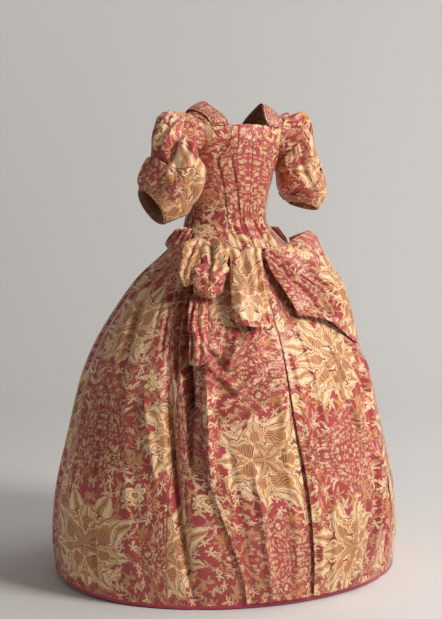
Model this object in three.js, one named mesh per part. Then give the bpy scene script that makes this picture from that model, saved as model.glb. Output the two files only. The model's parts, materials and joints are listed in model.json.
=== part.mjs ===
// A mantua of about 1700 with its matching petticoat, hollow and in the pose in which it is worn.
// Millimetres, +Z up. The origin lies midway between the two shoulder seams, on the line from
// which the gown hangs. The wearer faces -Y, so the back with its looped train is at +Y.
import * as THREE from "three";

// Driving sizes.
const CLOTH = 1.6; // thickness of every cloth wall
const SEAM = 0.3; // gap between pieces that are sewn together
const HEM_Z = -1300; // the petticoat's hem below the shoulder line
const WAIST_Z = -335; // where the bodice fits closest above the hips
const SKIRT_Y = -36; // the skirts hang round an axis in front of the shoulder line
const TORSO_TURN = 8; // degrees by which the waist and hips are turned to the wearer's right
const DEG = Math.PI / 180;

// The silk brocade, with its right side and its duller reverse out.
const silk = (color, roughness) =>
  new THREE.MeshStandardMaterial({ color, roughness, metalness: 0, side: THREE.DoubleSide });
const brocade = silk(0xa8584c, 0.48);
const brocadeReverse = silk(0x8d6a4c, 0.6);

// ---------------------------------------------------------------- small mathematics

const mix = (a, b, t) => a + (b - a) * t;
const clamp01 = (t) => Math.min(1, Math.max(0, t));
const smooth = (t) => clamp01(t) ** 2 * (3 - 2 * clamp01(t));
const range = (count) => Array.from({ length: count + 1 }, (_, i) => i / count);

// A curve through a table's rows: key is the column that is looked up, name the one that is read.
function read(rows, key, name, at) {
  const up = rows[rows.length - 1][key] > rows[0][key] ? 1 : -1;
  let i = 0;
  while (i < rows.length - 2 && (at - rows[i + 1][key]) * up > 0) i++;
  const [a, b] = [rows[i], rows[i + 1]];
  const span = b[key] - a[key];
  const t = clamp01((at - a[key]) / span);
  const before = rows[i - 1] ?? a;
  const after = rows[i + 2] ?? b;
  const m0 = ((b[name] - before[name]) / (b[key] - before[key])) * span;
  const m1 = ((after[name] - a[name]) / (after[key] - a[key])) * span;
  const [t2, t3] = [t * t, t * t * t];
  return (
    (2 * t3 - 3 * t2 + 1) * a[name] +
    (t3 - 2 * t2 + t) * m0 +
    (3 * t2 - 2 * t3) * b[name] +
    (t3 - t2) * m1
  );
}

// ---------------------------------------------------------------- cloth walls

// A wall of cloth: rows of points on its outer face, the same rows moved in by the thickness, and
// a rim round the edge. keep(column, row) says which squares are there; a closed wall is a tube.
// seam(column, row) is a direction that the cut edge there must be square to, or nothing; inside
// is a ready-made inner face.
function clothWall(grid, { closed = false, keep = () => true, seam = () => null, inside = null } = {}) {
  const rows = grid.length;
  const columns = grid[0].length;
  const across = closed ? columns : columns - 1;
  const at = (i, j) => grid[j][closed ? (i + columns) % columns : Math.min(columns - 1, Math.max(0, i))];
  const positions = [];
  for (const inner of [0, 1]) {
    for (let j = 0; j < rows; j++) {
      for (let i = 0; i < columns; i++) {
        const here = inner && inside ? inside[j][i].clone() : at(i, j).clone();
        if (inner && !inside) {
          const outward = gridNormal(at, i, j, rows);
          const across = seam(i, j);
          if (across) outward.addScaledVector(across, -outward.dot(across)).normalize();
          here.addScaledVector(outward, -CLOTH);
        }
        positions.push(here.x, here.y, here.z);
      }
    }
  }
  const id = (inner, i, j) => inner * rows * columns + j * columns + ((i + columns) % columns);
  const there = (i, j) => {
    if (j < 0 || j >= rows - 1) return false;
    if (!closed && (i < 0 || i >= across)) return false;
    return keep((i + across) % across, j);
  };
  const faces = [];
  const quad = (a, b, c, d) => faces.push(a, b, c, a, c, d);
  for (let j = 0; j < rows - 1; j++) {
    for (let i = 0; i < across; i++) {
      if (!there(i, j)) continue;
      quad(id(0, i, j), id(0, i + 1, j), id(0, i + 1, j + 1), id(0, i, j + 1));
      quad(id(1, i, j + 1), id(1, i + 1, j + 1), id(1, i + 1, j), id(1, i, j));
      if (!there(i, j - 1)) quad(id(1, i, j), id(1, i + 1, j), id(0, i + 1, j), id(0, i, j));
      if (!there(i, j + 1)) quad(id(0, i, j + 1), id(0, i + 1, j + 1), id(1, i + 1, j + 1), id(1, i, j + 1));
      if (!there(i - 1, j)) quad(id(0, i, j), id(0, i, j + 1), id(1, i, j + 1), id(1, i, j));
      if (!there(i + 1, j)) quad(id(1, i + 1, j), id(1, i + 1, j + 1), id(0, i + 1, j + 1), id(0, i + 1, j));
    }
  }
  return { positions, faces };
}

// The outward direction at one point of a grid, from its neighbours.
function gridNormal(at, i, j, rows) {
  const along = at(i + 1, j).clone().sub(at(i - 1, j));
  const up = at(i, Math.min(rows - 1, j + 1)).clone().sub(at(i, Math.max(0, j - 1)));
  return along.cross(up).normalize();
}

// A named piece. Points that no face uses are left out; a turned piece follows the turn of the body.
function piece(name, wall, { turned = false, material = brocade } = {}) {
  const used = [...new Set(wall.faces)];
  const place = new Map(used.map((old, fresh) => [old, fresh]));
  const positions = used.flatMap((old) => {
    const point = new THREE.Vector3().fromArray(wall.positions, 3 * old);
    return (turned ? twisted(point) : point).toArray();
  });
  const geometry = new THREE.BufferGeometry();
  geometry.setAttribute("position", new THREE.Float32BufferAttribute(positions, 3));
  geometry.setIndex(wall.faces.map((old) => place.get(old)));
  geometry.computeVertexNormals();
  const mesh = new THREE.Mesh(geometry, material);
  mesh.name = name;
  return mesh;
}

// A grid of points: rows go up the cloth, columns from right to left as seen from outside,
// so that the faces look outwards.
const gridOf = (columns, rows, pointAt) => rows.map((v) => columns.map((u) => pointAt(u, v)));

// Moves each point of a grid along its own outward direction.
function raised(grid, distance, closed = false) {
  const columns = grid[0].length;
  const at = (i, j) => grid[j][closed ? (i + columns) % columns : Math.min(columns - 1, Math.max(0, i))];
  return grid.map((row, j) =>
    row.map((point, i) => {
      const lift = typeof distance === "function" ? distance(i, j) : distance;
      return point.clone().addScaledVector(gridNormal(at, i, j, grid.length), lift);
    }),
  );
}

// ---------------------------------------------------------------- folds

// Each fold is a soft ridge (height over 0) or trough along a line between two places on the cloth.
// away is the angle round the wearer in degrees from the middle of the back towards the wearer's
// left, z the height; width is the fold's half width, and sharp makes one flank steeper.
function relief(folds, away, z, radius) {
  const scale = radius * DEG;
  let height = 0;
  for (const f of folds) {
    const [dx, dz] = [(f.away2 - f.away1) * scale, f.z2 - f.z1];
    const [px, pz] = [(away - f.away1) * scale, z - f.z1];
    const length = Math.hypot(dx, dz);
    const along = (px * dx + pz * dz) / length ** 2;
    const beside = (px * dz - pz * dx) / length;
    const width = beside > 0 ? f.width : f.width * (f.sharp ?? 1);
    const ends = smooth((along + 0.08) / 0.25) * smooth((1.08 - along) / 0.25);
    height += f.height * Math.exp(-((beside / width) ** 2)) * ends;
  }
  return height;
}

// ---------------------------------------------------------------- petticoat

// The dome that the petticoat makes: half its width and half its depth at each height.
const DOME = [
  { z: -345, side: 120, back: 96 },
  { z: -380, side: 153, back: 127 },
  { z: -415, side: 186, back: 155 },
  { z: -483, side: 257, back: 217 },
  { z: -551, side: 310, back: 263 },
  { z: -654, side: 377, back: 321 },
  { z: -757, side: 424, back: 361 },
  { z: -895, side: 460, back: 391 },
  { z: -1069, side: 501, back: 427 },
  { z: -1209, side: 513, back: 437 },
  { z: HEM_Z, side: 503, back: 429 },
];

// The pleats that open out below the hips, with the same ones on both sides and softer ones in front.
const PETTICOAT_FOLDS = [
  { away1: 88, z1: -400, away2: 71, z2: -740, width: 24, height: -15, sharp: 0.45 },
  { away1: 58, z1: -400, away2: 36, z2: -1300, width: 26, height: -15, sharp: 0.4 },
  { away1: 52, z1: -400, away2: 38, z2: -860, width: 18, height: -20, sharp: 0.5 },
  { away1: 112, z1: -400, away2: 104, z2: -1310, width: 40, height: -13, sharp: 0.5 },
  { away1: 136, z1: -385, away2: 140, z2: -1240, width: 42, height: -14, sharp: 0.5 },
  { away1: 160, z1: -390, away2: 166, z2: -1310, width: 38, height: -11, sharp: 0.55 },
];
const GATHERS = 18; // pleats set into the waistband, four columns of the skirt to each
const bothSides = (folds) =>
  folds.concat(folds.map((f) => ({ ...f, away1: -f.away1, away2: -f.away2 })));
const petticoatFolds = bothSides(PETTICOAT_FOLDS);

// The turn of the body at a height: none at the shoulders and at the hem, most at the waist.
const turnAt = (z) =>
  TORSO_TURN * DEG * (z > WAIST_Z ? smooth((-50 - z) / 285) : 1 - smooth((WAIST_Z - z) / 160));

function twisted(point) {
  const [c, s] = [Math.cos(turnAt(point.z)), Math.sin(turnAt(point.z))];
  const y = point.y - SKIRT_Y;
  return new THREE.Vector3(point.x * c - y * s, point.x * s + y * c + SKIRT_Y, point.z);
}

// A point round the skirts: away in degrees, z the height, out the distance outside the dome.
function skirtPoint(away, z, out) {
  const side = read(DOME, "z", "side", z) + out;
  const back = read(DOME, "z", "back", z) + out;
  const x = side * Math.sin(away * DEG);
  const y = back * Math.cos(away * DEG);
  return twisted(new THREE.Vector3(x, y + SKIRT_Y, z));
}

function petticoatOut(away, z) {
  const radius = read(DOME, "z", "side", z);
  const fade = smooth((-345 - z) / 50) * (1 - smooth((-470 - z) / 260));
  const gather = (Math.cos(GATHERS * away * DEG) - 1) * 3.2 * fade;
  return relief(petticoatFolds, away, z, radius) * smooth((-350 - z) / 70) + gather;
}

const PETTICOAT_ROWS = [
  HEM_Z, -1235, -1130, -1010, -890, -780, -680, -600, -540, -490, -445, -405, -375, -345,
];

function petticoatPanel(name, from, to, columns) {
  const gap = SEAM / 2 / 4.6; // degrees, worked out for the middle of the skirt
  const turns = range(columns).map((t) => mix(from + gap, to - gap, t));
  const grid = gridOf([...turns].reverse(), PETTICOAT_ROWS, (away, z) =>
    skirtPoint(away, z, petticoatOut(away, z)),
  );
  const seam = (i, j) => (i === 0 ? acrossSkirt(to, j) : i === columns ? acrossSkirt(from, j) : null);
  return piece(name, clothWall(grid, { seam }));
}

// The direction square to a skirt seam, which stands upright at one angle.
function acrossSkirt(away, j) {
  const z = PETTICOAT_ROWS[j];
  const middle = skirtPoint(away, z, -60);
  const outward = skirtPoint(away, z, 60).sub(middle);
  return new THREE.Vector3(outward.y, -outward.x, 0).normalize();
}

// The band that the petticoat is pleated into, closed round the waist under the bodice.
function petticoatBand() {
  const turns = range(48).slice(0, 48).map((t) => -360 * t);
  const grid = gridOf(turns, [-345 + SEAM, -331, -317], (away, z) => {
    const point = skirtPoint(away, -345, -0.1);
    point.z = z;
    return point;
  });
  return piece("petticoat_waistband", clothWall(grid, { closed: true }));
}

// ---------------------------------------------------------------- bodice

// The armhole, a loop seen from the side: 0 degrees is its back edge, 90 its top at the shoulder,
// 180 its front edge and -90 the armpit.
function armhole(turn) {
  const [c, s] = [Math.cos(turn * DEG), Math.sin(turn * DEG)];
  return new THREE.Vector3(
    149 - (c > 0 ? 30 : 22) * c * c,
    -15 + (c > 0 ? 72 : 58) * c + 15 * s,
    -94 + 61 * s,
  );
}

// Sections of the bodice from below the waist to the shoulder seam. middle is where the section
// meets the middle line (y), side and centre its widest point; from the armpit up, hole is the
// place on the armhole where it ends. Above the neckline a section starts at neckX, neckY, neckZ.
const BACK_ROWS = [
  { z: -405, middle: 126, side: 192, centre: SKIRT_Y, spread: 58 },
  { z: -384, middle: 107, side: 170, centre: SKIRT_Y, spread: 64 },
  { z: -360, middle: 84, side: 146, centre: SKIRT_Y, spread: 76 },
  { z: WAIST_Z, middle: 64, side: 124, centre: SKIRT_Y, spread: 90 },
  { z: -300, middle: 61, side: 121, centre: SKIRT_Y, spread: 90 },
  { z: -250, middle: 66, side: 127, centre: -35, spread: 90 },
  { z: -200, middle: 76, side: 138, centre: -32, spread: 90 },
  { z: -155, middle: 86, side: 149, centre: -30, spread: 90 },
  { z: -128, middle: 91, hole: -50, spread: 74 },
  { z: -96, middle: 94, hole: -12, spread: 64 },
  { z: -62, middle: 90, hole: 22, spread: 56, neckX: 52, neckY: 84, neckZ: -62 },
  { hole: 46, spread: 50, neckX: 65, neckY: 60, neckZ: -43 },
  { hole: 68, spread: 46, neckX: 78, neckY: 32, neckZ: -23 },
  { hole: 90, spread: 44, neckX: 92, neckY: 0, neckZ: 0 },
];
const FRONT_ROWS = [
  { z: -345, middle: -138, side: 131, centre: SKIRT_Y, spread: 90 },
  { z: -322, middle: -136, side: 124.5, centre: SKIRT_Y, spread: 90 },
  { z: -300, middle: -131, side: 121, centre: SKIRT_Y, spread: 90 },
  { z: -250, middle: -142, side: 127, centre: -35, spread: 90 },
  { z: -200, middle: -156, side: 138, centre: -32, spread: 90 },
  { z: -155, middle: -162, side: 149, centre: -30, spread: 90 },
  { z: -138, middle: -157, hole: 244, spread: 80 },
  { z: -118, middle: -150, hole: 222, spread: 72, neckX: 66, neckY: -138, neckZ: -118 },
  { hole: 200, spread: 66, neckX: 67, neckY: -124, neckZ: -101 },
  { hole: 178, spread: 60, neckX: 70, neckY: -106, neckZ: -82 },
  { hole: 142, spread: 52, neckX: 78, neckY: -66, neckZ: -42 },
  { hole: 114, spread: 47, neckX: 87, neckY: -27, neckZ: -13 },
  { hole: 90, spread: 44, neckX: 92, neckY: 0, neckZ: 0 },
];

const NECK_COLUMN = 0.36; // the share of a section that lies under the neckline
const WAIST_SEAM = SEAM / 2;

// A point of the left half of the bodice. share runs from the middle line to the side seam or armhole.
function bodicePoint(row, share, front) {
  const end = row.hole === undefined
    ? new THREE.Vector3(
        row.side * Math.sin(row.spread * DEG),
        row.centre + (row.middle - row.centre) * Math.cos(row.spread * DEG),
        row.z,
      )
    : armhole(row.hole);
  const notched = row.z === undefined;
  const start = notched
    ? new THREE.Vector3(row.neckX, row.neckY, row.neckZ)
    : new THREE.Vector3(0, row.middle, row.z);
  const t = notched ? clamp01((share - NECK_COLUMN) / (1 - NECK_COLUMN)) : share;
  const turn = t * row.spread * DEG;
  const last = row.spread * DEG;
  const bow = (Math.cos(turn) - Math.cos(last)) / (1 - Math.cos(last));
  const point = new THREE.Vector3(
    mix(start.x, end.x, Math.sin(turn) / Math.sin(last)),
    mix(end.y, start.y, bow),
    mix(start.z, end.z, t ** 1.4),
  );
  point.y += front ? -WAIST_SEAM : WAIST_SEAM;
  return point;
}

// The two pleats stitched down on each half of the back, the inner one first. Their edges run from
// the neckline to below the waist and come closer together on the way.
const PLEATS = [
  { topShare: 0.27, waistShare: 0.15, skirtShare: 0.16, height: 2.6 },
  { topShare: 0.43, waistShare: 0.345, skirtShare: 0.36, height: 2.4 },
];
const PLEAT_EDGE = 0.012; // half the width of a pleat's edge, as a share of the section

// Where the columns of the back lie, as shares of a section, and how far each stands out.
function backColumns(z) {
  const at = (p) =>
    z > WAIST_Z
      ? mix(p.waistShare, p.topShare, smooth((z - WAIST_Z) / (-62 - WAIST_Z)))
      : mix(p.waistShare, p.skirtShare, (WAIST_Z - z) / 70);
  const [inner, outer] = PLEATS.map(at);
  const fade = z > -100 ? 1 - 0.6 * smooth((z + 100) / 40) : 1;
  const [high, low] = [(PLEATS[0].height + PLEATS[1].height) * fade, PLEATS[1].height * fade];
  return [
    { share: 0.0012, out: high },
    { share: inner * 0.5, out: high },
    { share: inner - PLEAT_EDGE, out: high },
    { share: inner + PLEAT_EDGE, out: low },
    { share: (inner + outer) / 2, out: low },
    { share: outer - PLEAT_EDGE, out: low },
    { share: outer + PLEAT_EDGE, out: 0 },
    ...range(6).slice(1).map((t) => ({ share: mix(outer + PLEAT_EDGE, 1, t), out: 0 })),
  ];
}
const NECK_COLUMN_INDEX = 6; // the column of the back at which the neckline turns up

function halfBack(mirror) {
  const rows = BACK_ROWS;
  const flat = rows.map((row) => {
    const columns = backColumns(row.z ?? -62);
    const shares = columns.map((c, i) =>
      row.z === undefined
        ? mix(NECK_COLUMN, 1, clamp01((i - NECK_COLUMN_INDEX) / (columns.length - 1 - NECK_COLUMN_INDEX)))
        : c.share,
    );
    return shares.map((share) => bodicePoint(row, share, false));
  });
  const outs = rows.map((row) => backColumns(row.z ?? -62).map((c) => (row.z === undefined ? 0 : c.out)));
  const neckRow = rows.findIndex((row) => row.z === undefined) - 1;
  const grid = raised(flat.map((row) => [...row].reverse()), (i, j) => outs[j][outs[j].length - 1 - i]);
  const keep = (i, j) => j < neckRow || i < flat[0].length - 1 - NECK_COLUMN_INDEX;
  const seam = bodiceSeams(BACK_ROWS, flat[0].length - 1, 0);
  return mirror ? onTheRight(grid, keep, seam) : { grid, keep, seam };
}

// The same grid on the wearer's right.
const mirrored = (grid) =>
  grid.map((row) => [...row].reverse().map((p) => new THREE.Vector3(-p.x, p.y, p.z)));
const onTheRight = (grid, keep, seam) => ({
  grid: mirrored(grid),
  keep: (i, j) => keep(grid[0].length - 2 - i, j),
  seam: (i, j) => seam(grid[0].length - 1 - i, j),
});

// The edges of a bodice panel that are sewn: its middle line, its side seam and the shoulder.
const ACROSS = new THREE.Vector3(1, 0, 0);
const FORWARD = new THREE.Vector3(0, 1, 0);
const bodiceSeams = (table, middle, outer) => (i, j) => {
  if (j === table.length - 1) return FORWARD;
  if (i === middle && table[j].z !== undefined) return ACROSS;
  return i === outer && table[j].hole === undefined ? FORWARD : null;
};

const FRONT_COLUMNS = 9;
const FRONT_NECK_INDEX = 4;
function halfFront(mirror) {
  const shares = range(FRONT_COLUMNS).map((t, i) =>
    i <= FRONT_NECK_INDEX
      ? mix(0.0012, NECK_COLUMN, i / FRONT_NECK_INDEX)
      : mix(NECK_COLUMN, 1, (i - FRONT_NECK_INDEX) / (FRONT_COLUMNS - FRONT_NECK_INDEX)),
  );
  const grid = FRONT_ROWS.map((row) => shares.map((share) => bodicePoint(row, share, true)));
  const neckRow = FRONT_ROWS.findIndex((row) => row.z === undefined) - 1;
  const keep = (i, j) => j < neckRow || i >= FRONT_NECK_INDEX;
  const seam = bodiceSeams(FRONT_ROWS, 0, FRONT_COLUMNS);
  return mirror ? onTheRight(grid, keep, seam) : { grid, keep, seam };
}

// The robing, a band that lies on the gown from the front waist over the shoulder to the back neck.
const ROBING_COLUMNS = 5;
const ROBING_GAP = 3.1; // how far the robing stands off the neckline and the shoulder
const ROBING_SEAT = 1; // and off the gown's fronts
function robing(mirror) {
  const back = halfBack(false).grid;
  const front = halfFront(false).grid;
  const backTurn = back[0].length - 1 - NECK_COLUMN_INDEX;
  const face = (more) => {
    const clear = (i, j) => more + (j > 4 ? ROBING_GAP : ROBING_SEAT);
    const rows = raised(front, clear).map((row) =>
      row.slice(FRONT_NECK_INDEX, FRONT_NECK_INDEX + ROBING_COLUMNS),
    );
    const behind = raised(back, more + ROBING_GAP).slice(10, -1).reverse();
    behind.forEach((row) => {
      rows.push(row.slice(backTurn - ROBING_COLUMNS + 1, backTurn + 1).reverse());
    });
    return mirror ? mirrored(rows) : rows;
  };
  return clothWall(face(CLOTH), { inside: face(0) });
}

// ---------------------------------------------------------------- sleeves

// Sections of each sleeve below the armhole. turn tilts a section from upright at the armhole to
// level at the elbow; round is its half depth from front to back and deep its half width outwards.
const LEFT_SLEEVE = [
  { x: 182, y: 8, z: -92, turn: 30, round: 78, deep: 68 },
  { x: 203, y: 50, z: -126, turn: 50, round: 86, deep: 76 },
  { x: 205, y: 52, z: -162, turn: 66, round: 90, deep: 76 },
  { x: 212, y: 45, z: -200, turn: 74, round: 92, deep: 78 },
  { x: 218, y: 28, z: -240, turn: 66, round: 88, deep: 78 },
  { x: 240, y: 26, z: -270, turn: 50, round: 70, deep: 66 },
  { x: 272, y: 24, z: -289, turn: 33, round: 50, deep: 54 },
];
const RIGHT_SLEEVE = [
  { x: 179, y: 0, z: -88, turn: 25, round: 80, deep: 72 },
  { x: 197, y: -8, z: -122, turn: 46, round: 82, deep: 68 },
  { x: 208, y: -2, z: -164, turn: 66, round: 72, deep: 60 },
  { x: 215, y: 0, z: -206, turn: 80, round: 78, deep: 62 },
  { x: 220, y: 5, z: -240, turn: 92, round: 76, deep: 60 },
  { x: 225, y: 9, z: -268, turn: 102, round: 60, deep: 48 },
  { x: 228, y: 11, z: -286, turn: 108, round: 50, deep: 41 },
];
const SLEEVE_COLUMNS = 36;
const SLEEVE_GATHERS = 12; // pleats that take the sleeve into the armhole

// A point of a sleeve: turn as round the armhole, along from 0 at the armhole to 1 at the elbow.
function sleevePoint(table, turn, along, side) {
  const rows = table.map((row, i) => ({ ...row, at: i + 1 }));
  const at = along * table.length;
  const edge = armhole(turn);
  const hole = twisted(edge.setX(side * (edge.x + 3 * SEAM + CLOTH)));
  hole.x *= side;
  const row = (name) => read(rows, "at", name, Math.max(1, at));
  const tilt = row("turn") * DEG;
  const [c, s] = [Math.cos(turn * DEG), Math.sin(turn * DEG)];
  const body = new THREE.Vector3(
    row("x") + row("deep") * s * Math.sin(tilt),
    row("y") + row("round") * c,
    row("z") + row("deep") * s * Math.cos(tilt),
  );
  return at >= 1 ? body : hole.lerp(body, at);
}

function sleeveOut(turn, along) {
  const gather = Math.cos(SLEEVE_GATHERS * turn * DEG) * 3.4;
  return gather * smooth(along / 0.12) * (1 - smooth((along - 0.2) / 0.5));
}

function sleeve(table, mirror) {
  const side = mirror ? -1 : 1;
  const turns = range(SLEEVE_COLUMNS).slice(0, SLEEVE_COLUMNS).map((t) => 360 * t);
  const rows = [1, 0.88, 0.76, 0.64, 0.5, 0.36, 0.22, 0.09, 0];
  const flat = gridOf([...turns].reverse(), rows, (turn, along) =>
    sleevePoint(table, turn, along, side),
  );
  const grid = raised(
    flat,
    (i, j) => sleeveOut([...turns].reverse()[i], rows[j]),
    true,
  );
  return mirror ? mirrored(grid) : grid;
}

// The cuff turned back over the elbow: pleats spread from the bend of the elbow to its outside.
const CUFF_FOLDS = [
  { turn: 62, width: 24, height: 9 },
  { turn: 118, width: 22, height: 8 },
  { turn: 15, width: 20, height: 7 },
  { turn: 172, width: 24, height: 7 },
];
function cuff(table, mirror) {
  const turns = range(SLEEVE_COLUMNS).slice(0, SLEEVE_COLUMNS).map((t) => 360 * t).reverse();
  const rows = range(4).map((t) => 1 - t);
  const flat = gridOf(turns, rows, (turn, down) => {
    const top = 0.66 - 0.16 * Math.sin(turn * DEG);
    return sleevePoint(table, turn, mix(top, 0.985, down), mirror ? -1 : 1);
  });
  const grid = raised(
    flat,
    (i, j) => {
      const swell = Math.sin(Math.PI * clamp01(0.12 + 0.88 * rows[j]));
      const folds = CUFF_FOLDS.map((f) => {
        const beside = ((((turns[i] - f.turn) % 360) + 540) % 360) - 180;
        return f.height * Math.exp(-((beside / f.width) ** 2));
      }).reduce((sum, height) => sum + height, 0);
      return CLOTH + mix(2.4, 0.75, rows[j] ** 3) + swell * folds;
    },
    true,
  );
  return mirror ? mirrored(grid) : grid;
}

// ---------------------------------------------------------------- train and drapery

// The long folds of the train. Those in the left half are swagged towards its free edge.
const TRAIN_FOLDS = [
  { away1: 9, z1: -575, away2: 31, z2: -700, width: 17, height: 12 },
  { away1: 13, z1: -655, away2: 38, z2: -728, width: 15, height: 10 },
  { away1: 9, z1: -620, away2: 34, z2: -716, width: 12, height: -4 },
  { away1: 34, z1: -600, away2: 32, z2: -1000, width: 22, height: 9 },
  { away1: 8, z1: -700, away2: 5, z2: -1290, width: 20, height: 5 },
  { away1: 0, z1: -640, away2: -3, z2: -1290, width: 14, height: 5, sharp: 0.6 },
  { away1: -12, z1: -640, away2: -30, z2: -960, width: 24, height: -7, sharp: 0.5 },
  { away1: -40, z1: -690, away2: -26, z2: -1200, width: 26, height: 9, sharp: 0.5 },
  { away1: -12, z1: -900, away2: -18, z2: -1290, width: 34, height: 6 },
];

// The train's free edge at each height, in degrees from the middle of the back.
const TRAIN_EDGE = [
  { z: -1292, left: 20.5, right: -26, part: -0.2, lift: 7 },
  { z: -1237, left: 21.5, right: -28, part: 0.2, lift: 8 },
  { z: -1144, left: 25, right: -34, part: 0.7, lift: 9 },
  { z: -1030, left: 30, right: -41, part: 1.2, lift: 10 },
  { z: -956, left: 33, right: -44, part: 1.8, lift: 10 },
  { z: -781, left: 35, right: -48, part: 3.7, lift: 10 },
  { z: -644, left: 37, right: -51, part: 3.8, lift: 9 },
  { z: -581, left: 40, right: -52, part: 4, lift: 8 },
  { z: -505, left: 44, right: -53, part: 4.2, lift: 6 },
  { z: -405, left: 50, right: -54, part: 2, lift: 3.6 },
];
const TRAIN_ROWS = [
  -1292, -1245, -1190, -1130, -1060, -980, -890, -800, -745, -715, -690, -660, -625, -585, -540, -490, -445, -408,
];

function trainPoint(away, z) {
  const radius = read(DOME, "z", "side", z);
  const out = read(TRAIN_EDGE, "z", "lift", z) + relief(TRAIN_FOLDS, away, z, radius);
  return skirtPoint(away, z, Math.max(out, CLOTH + 2));
}

// One half of the train. The halves part along the middle of the back, a little wider at the hem.
function trainHalf(name, side, places) {
  const columns = range(places);
  const grid = gridOf(side > 0 ? [...columns].reverse() : columns, TRAIN_ROWS, (t, z) => {
    const edge = read(TRAIN_EDGE, "z", side > 0 ? "left" : "right", z);
    const open = 0.09 + 0.55 * smooth((-560 - z) / 760);
    return trainPoint(mix(read(TRAIN_EDGE, "z", "part", z) + side * open, edge, t), z);
  });
  return piece(name, clothWall(grid));
}

// Drapery over the hips. A net holds rows of places from the foot of the piece to its top, and each
// row runs from left to right as seen from behind. A place is [degrees from the middle of the back,
// height, distance outside the dome]; its first and last places are turned under.
function drape(name, net, columns, rows, { ripple = () => 0, material = brocade } = {}) {
  const rowTables = net.map((row) => row.map(([away, z, out], at) => ({ at, away, z, out })));
  const last = net.length - 1;
  const width = net[0].length - 1;
  const grid = gridOf(range(columns), range(rows), (u, v) => {
    const place = {};
    for (const name of ["away", "z", "out"]) {
      const across = rowTables.map((row, at) => ({ at, value: read(row, "at", name, u * width) }));
      place[name] = read(across, "at", "value", v * last);
    }
    return skirtPoint(place.away, place.z, place.out + ripple(u, v));
  });
  return piece(name, clothWall(grid), { material });
}

// The tail that falls from a fold at the waist over the middle of the back, loose at its foot.
const TAIL = [
  [[20, -588, 20], [23, -586, 34], [18, -596, 42], [12, -603, 30], [7, -606, 19], [4.5, -600, 14]],
  [[21, -560, 14], [25, -556, 44], [19, -562, 54], [12, -566, 42], [7, -568, 29], [5, -566, 16]],
  [[21, -505, 7.8], [26, -503, 50], [19, -506, 60], [12, -508, 52], [7, -508, 38], [5, -508, 18]],
  [[23, -455, 6.6], [27, -452, 46], [19, -455, 57], [12, -456, 50], [6, -456, 38], [3.5, -455, 18]],
  [[25, -423, 20], [28, -416, 36], [19, -415, 46], [12, -415, 42], [6, -415, 36], [2, -417, 24]],
  [[26, -409, 26], [28, -401, 30], [19, -398, 36], [12, -397, 36], [5, -398, 33], [1, -402, 30]],
  [[26, -416, 14], [27, -413, 15], [19, -412, 17], [12, -412, 17], [5, -413, 16], [1.5, -414, 14]],
];

// The puff beside it, caught up at the left hip and open at its foot.
const LEFT_PUFF = [
  [[40, -522, 30], [41, -526, 40], [35, -532, 52], [31, -522, 42], [30, -514, 28]],
  [[40.5, -500, 24], [42, -500, 50], [36, -506, 72], [31, -498, 56], [29.5, -496, 14]],
  [[41, -460, 12], [43, -458, 60], [36.5, -462, 84], [31, -458, 62], [29.5, -456, 5.1]],
  [[42, -425, 18], [44, -420, 60], [38, -418, 82], [32, -420, 58], [30, -424, 14]],
  [[45, -402, 27], [46, -390, 52], [40, -384, 62], [34, -390, 48], [31, -402, 28]],
  [[45, -407, 24], [45.5, -399, 29], [40, -393, 34], [35, -398, 31], [32, -406, 26]],
];

// The roll of cloth that comes out under the puff and runs down into the edge of the train.
const LEFT_ROLL = [
  [[40, -692, 11.2], [40.5, -694, 17], [38, -696, 21], [35.5, -692, 24], [34, -690, 22]],
  [[40, -640, 10], [42, -640, 24], [39, -642, 33], [35.5, -640, 30], [34, -638, 20]],
  [[42.5, -585, 7.2], [44, -585, 30], [41, -585, 42], [37, -585, 34], [35, -585, 14]],
  [[43.5, -545, 8.2], [44.5, -545, 28], [41.5, -545, 36], [38, -545, 28], [36, -545, 9.2]],
  [[44, -512, 7.2], [44, -512, 13], [41, -512, 17], [38, -512, 15], [36.5, -512, 7.5]],
];

// The petal of turned-back cloth at the left hip.
const LEFT_FAN = [
  [[52, -500, 22], [49.5, -508, 34], [47, -508, 36], [45.5, -500, 28]],
  [[56, -470, -2.6], [53.5, -476, 54], [49.5, -476, 62], [46.5, -468, 38]],
  [[59, -436, -2.6], [57, -438, 64], [52.5, -438, 76], [49, -432, 46]],
  [[62, -405, 32], [60, -400, 62], [55.5, -398, 76], [51.5, -402, 52]],
  [[63, -385, 28], [61, -378, 52], [57, -376, 64], [53, -384, 48]],
];

// The gathered edge that stands up over each hip.
const RUFFLE_WAVES = 5;
const HIP_RUFFLE = [
  [[101, -408, 0.7], [84, -412, 0.7], [68, -408, 0.7]],
  [[103, -392, 24], [84, -392, 30], [68, -390, 26]],
  [[103, -370, 32], [84, -368, 40], [68.5, -366, 34]],
  [[101, -350, 34], [84, -346, 42], [69, -346, 38]],
];

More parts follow.
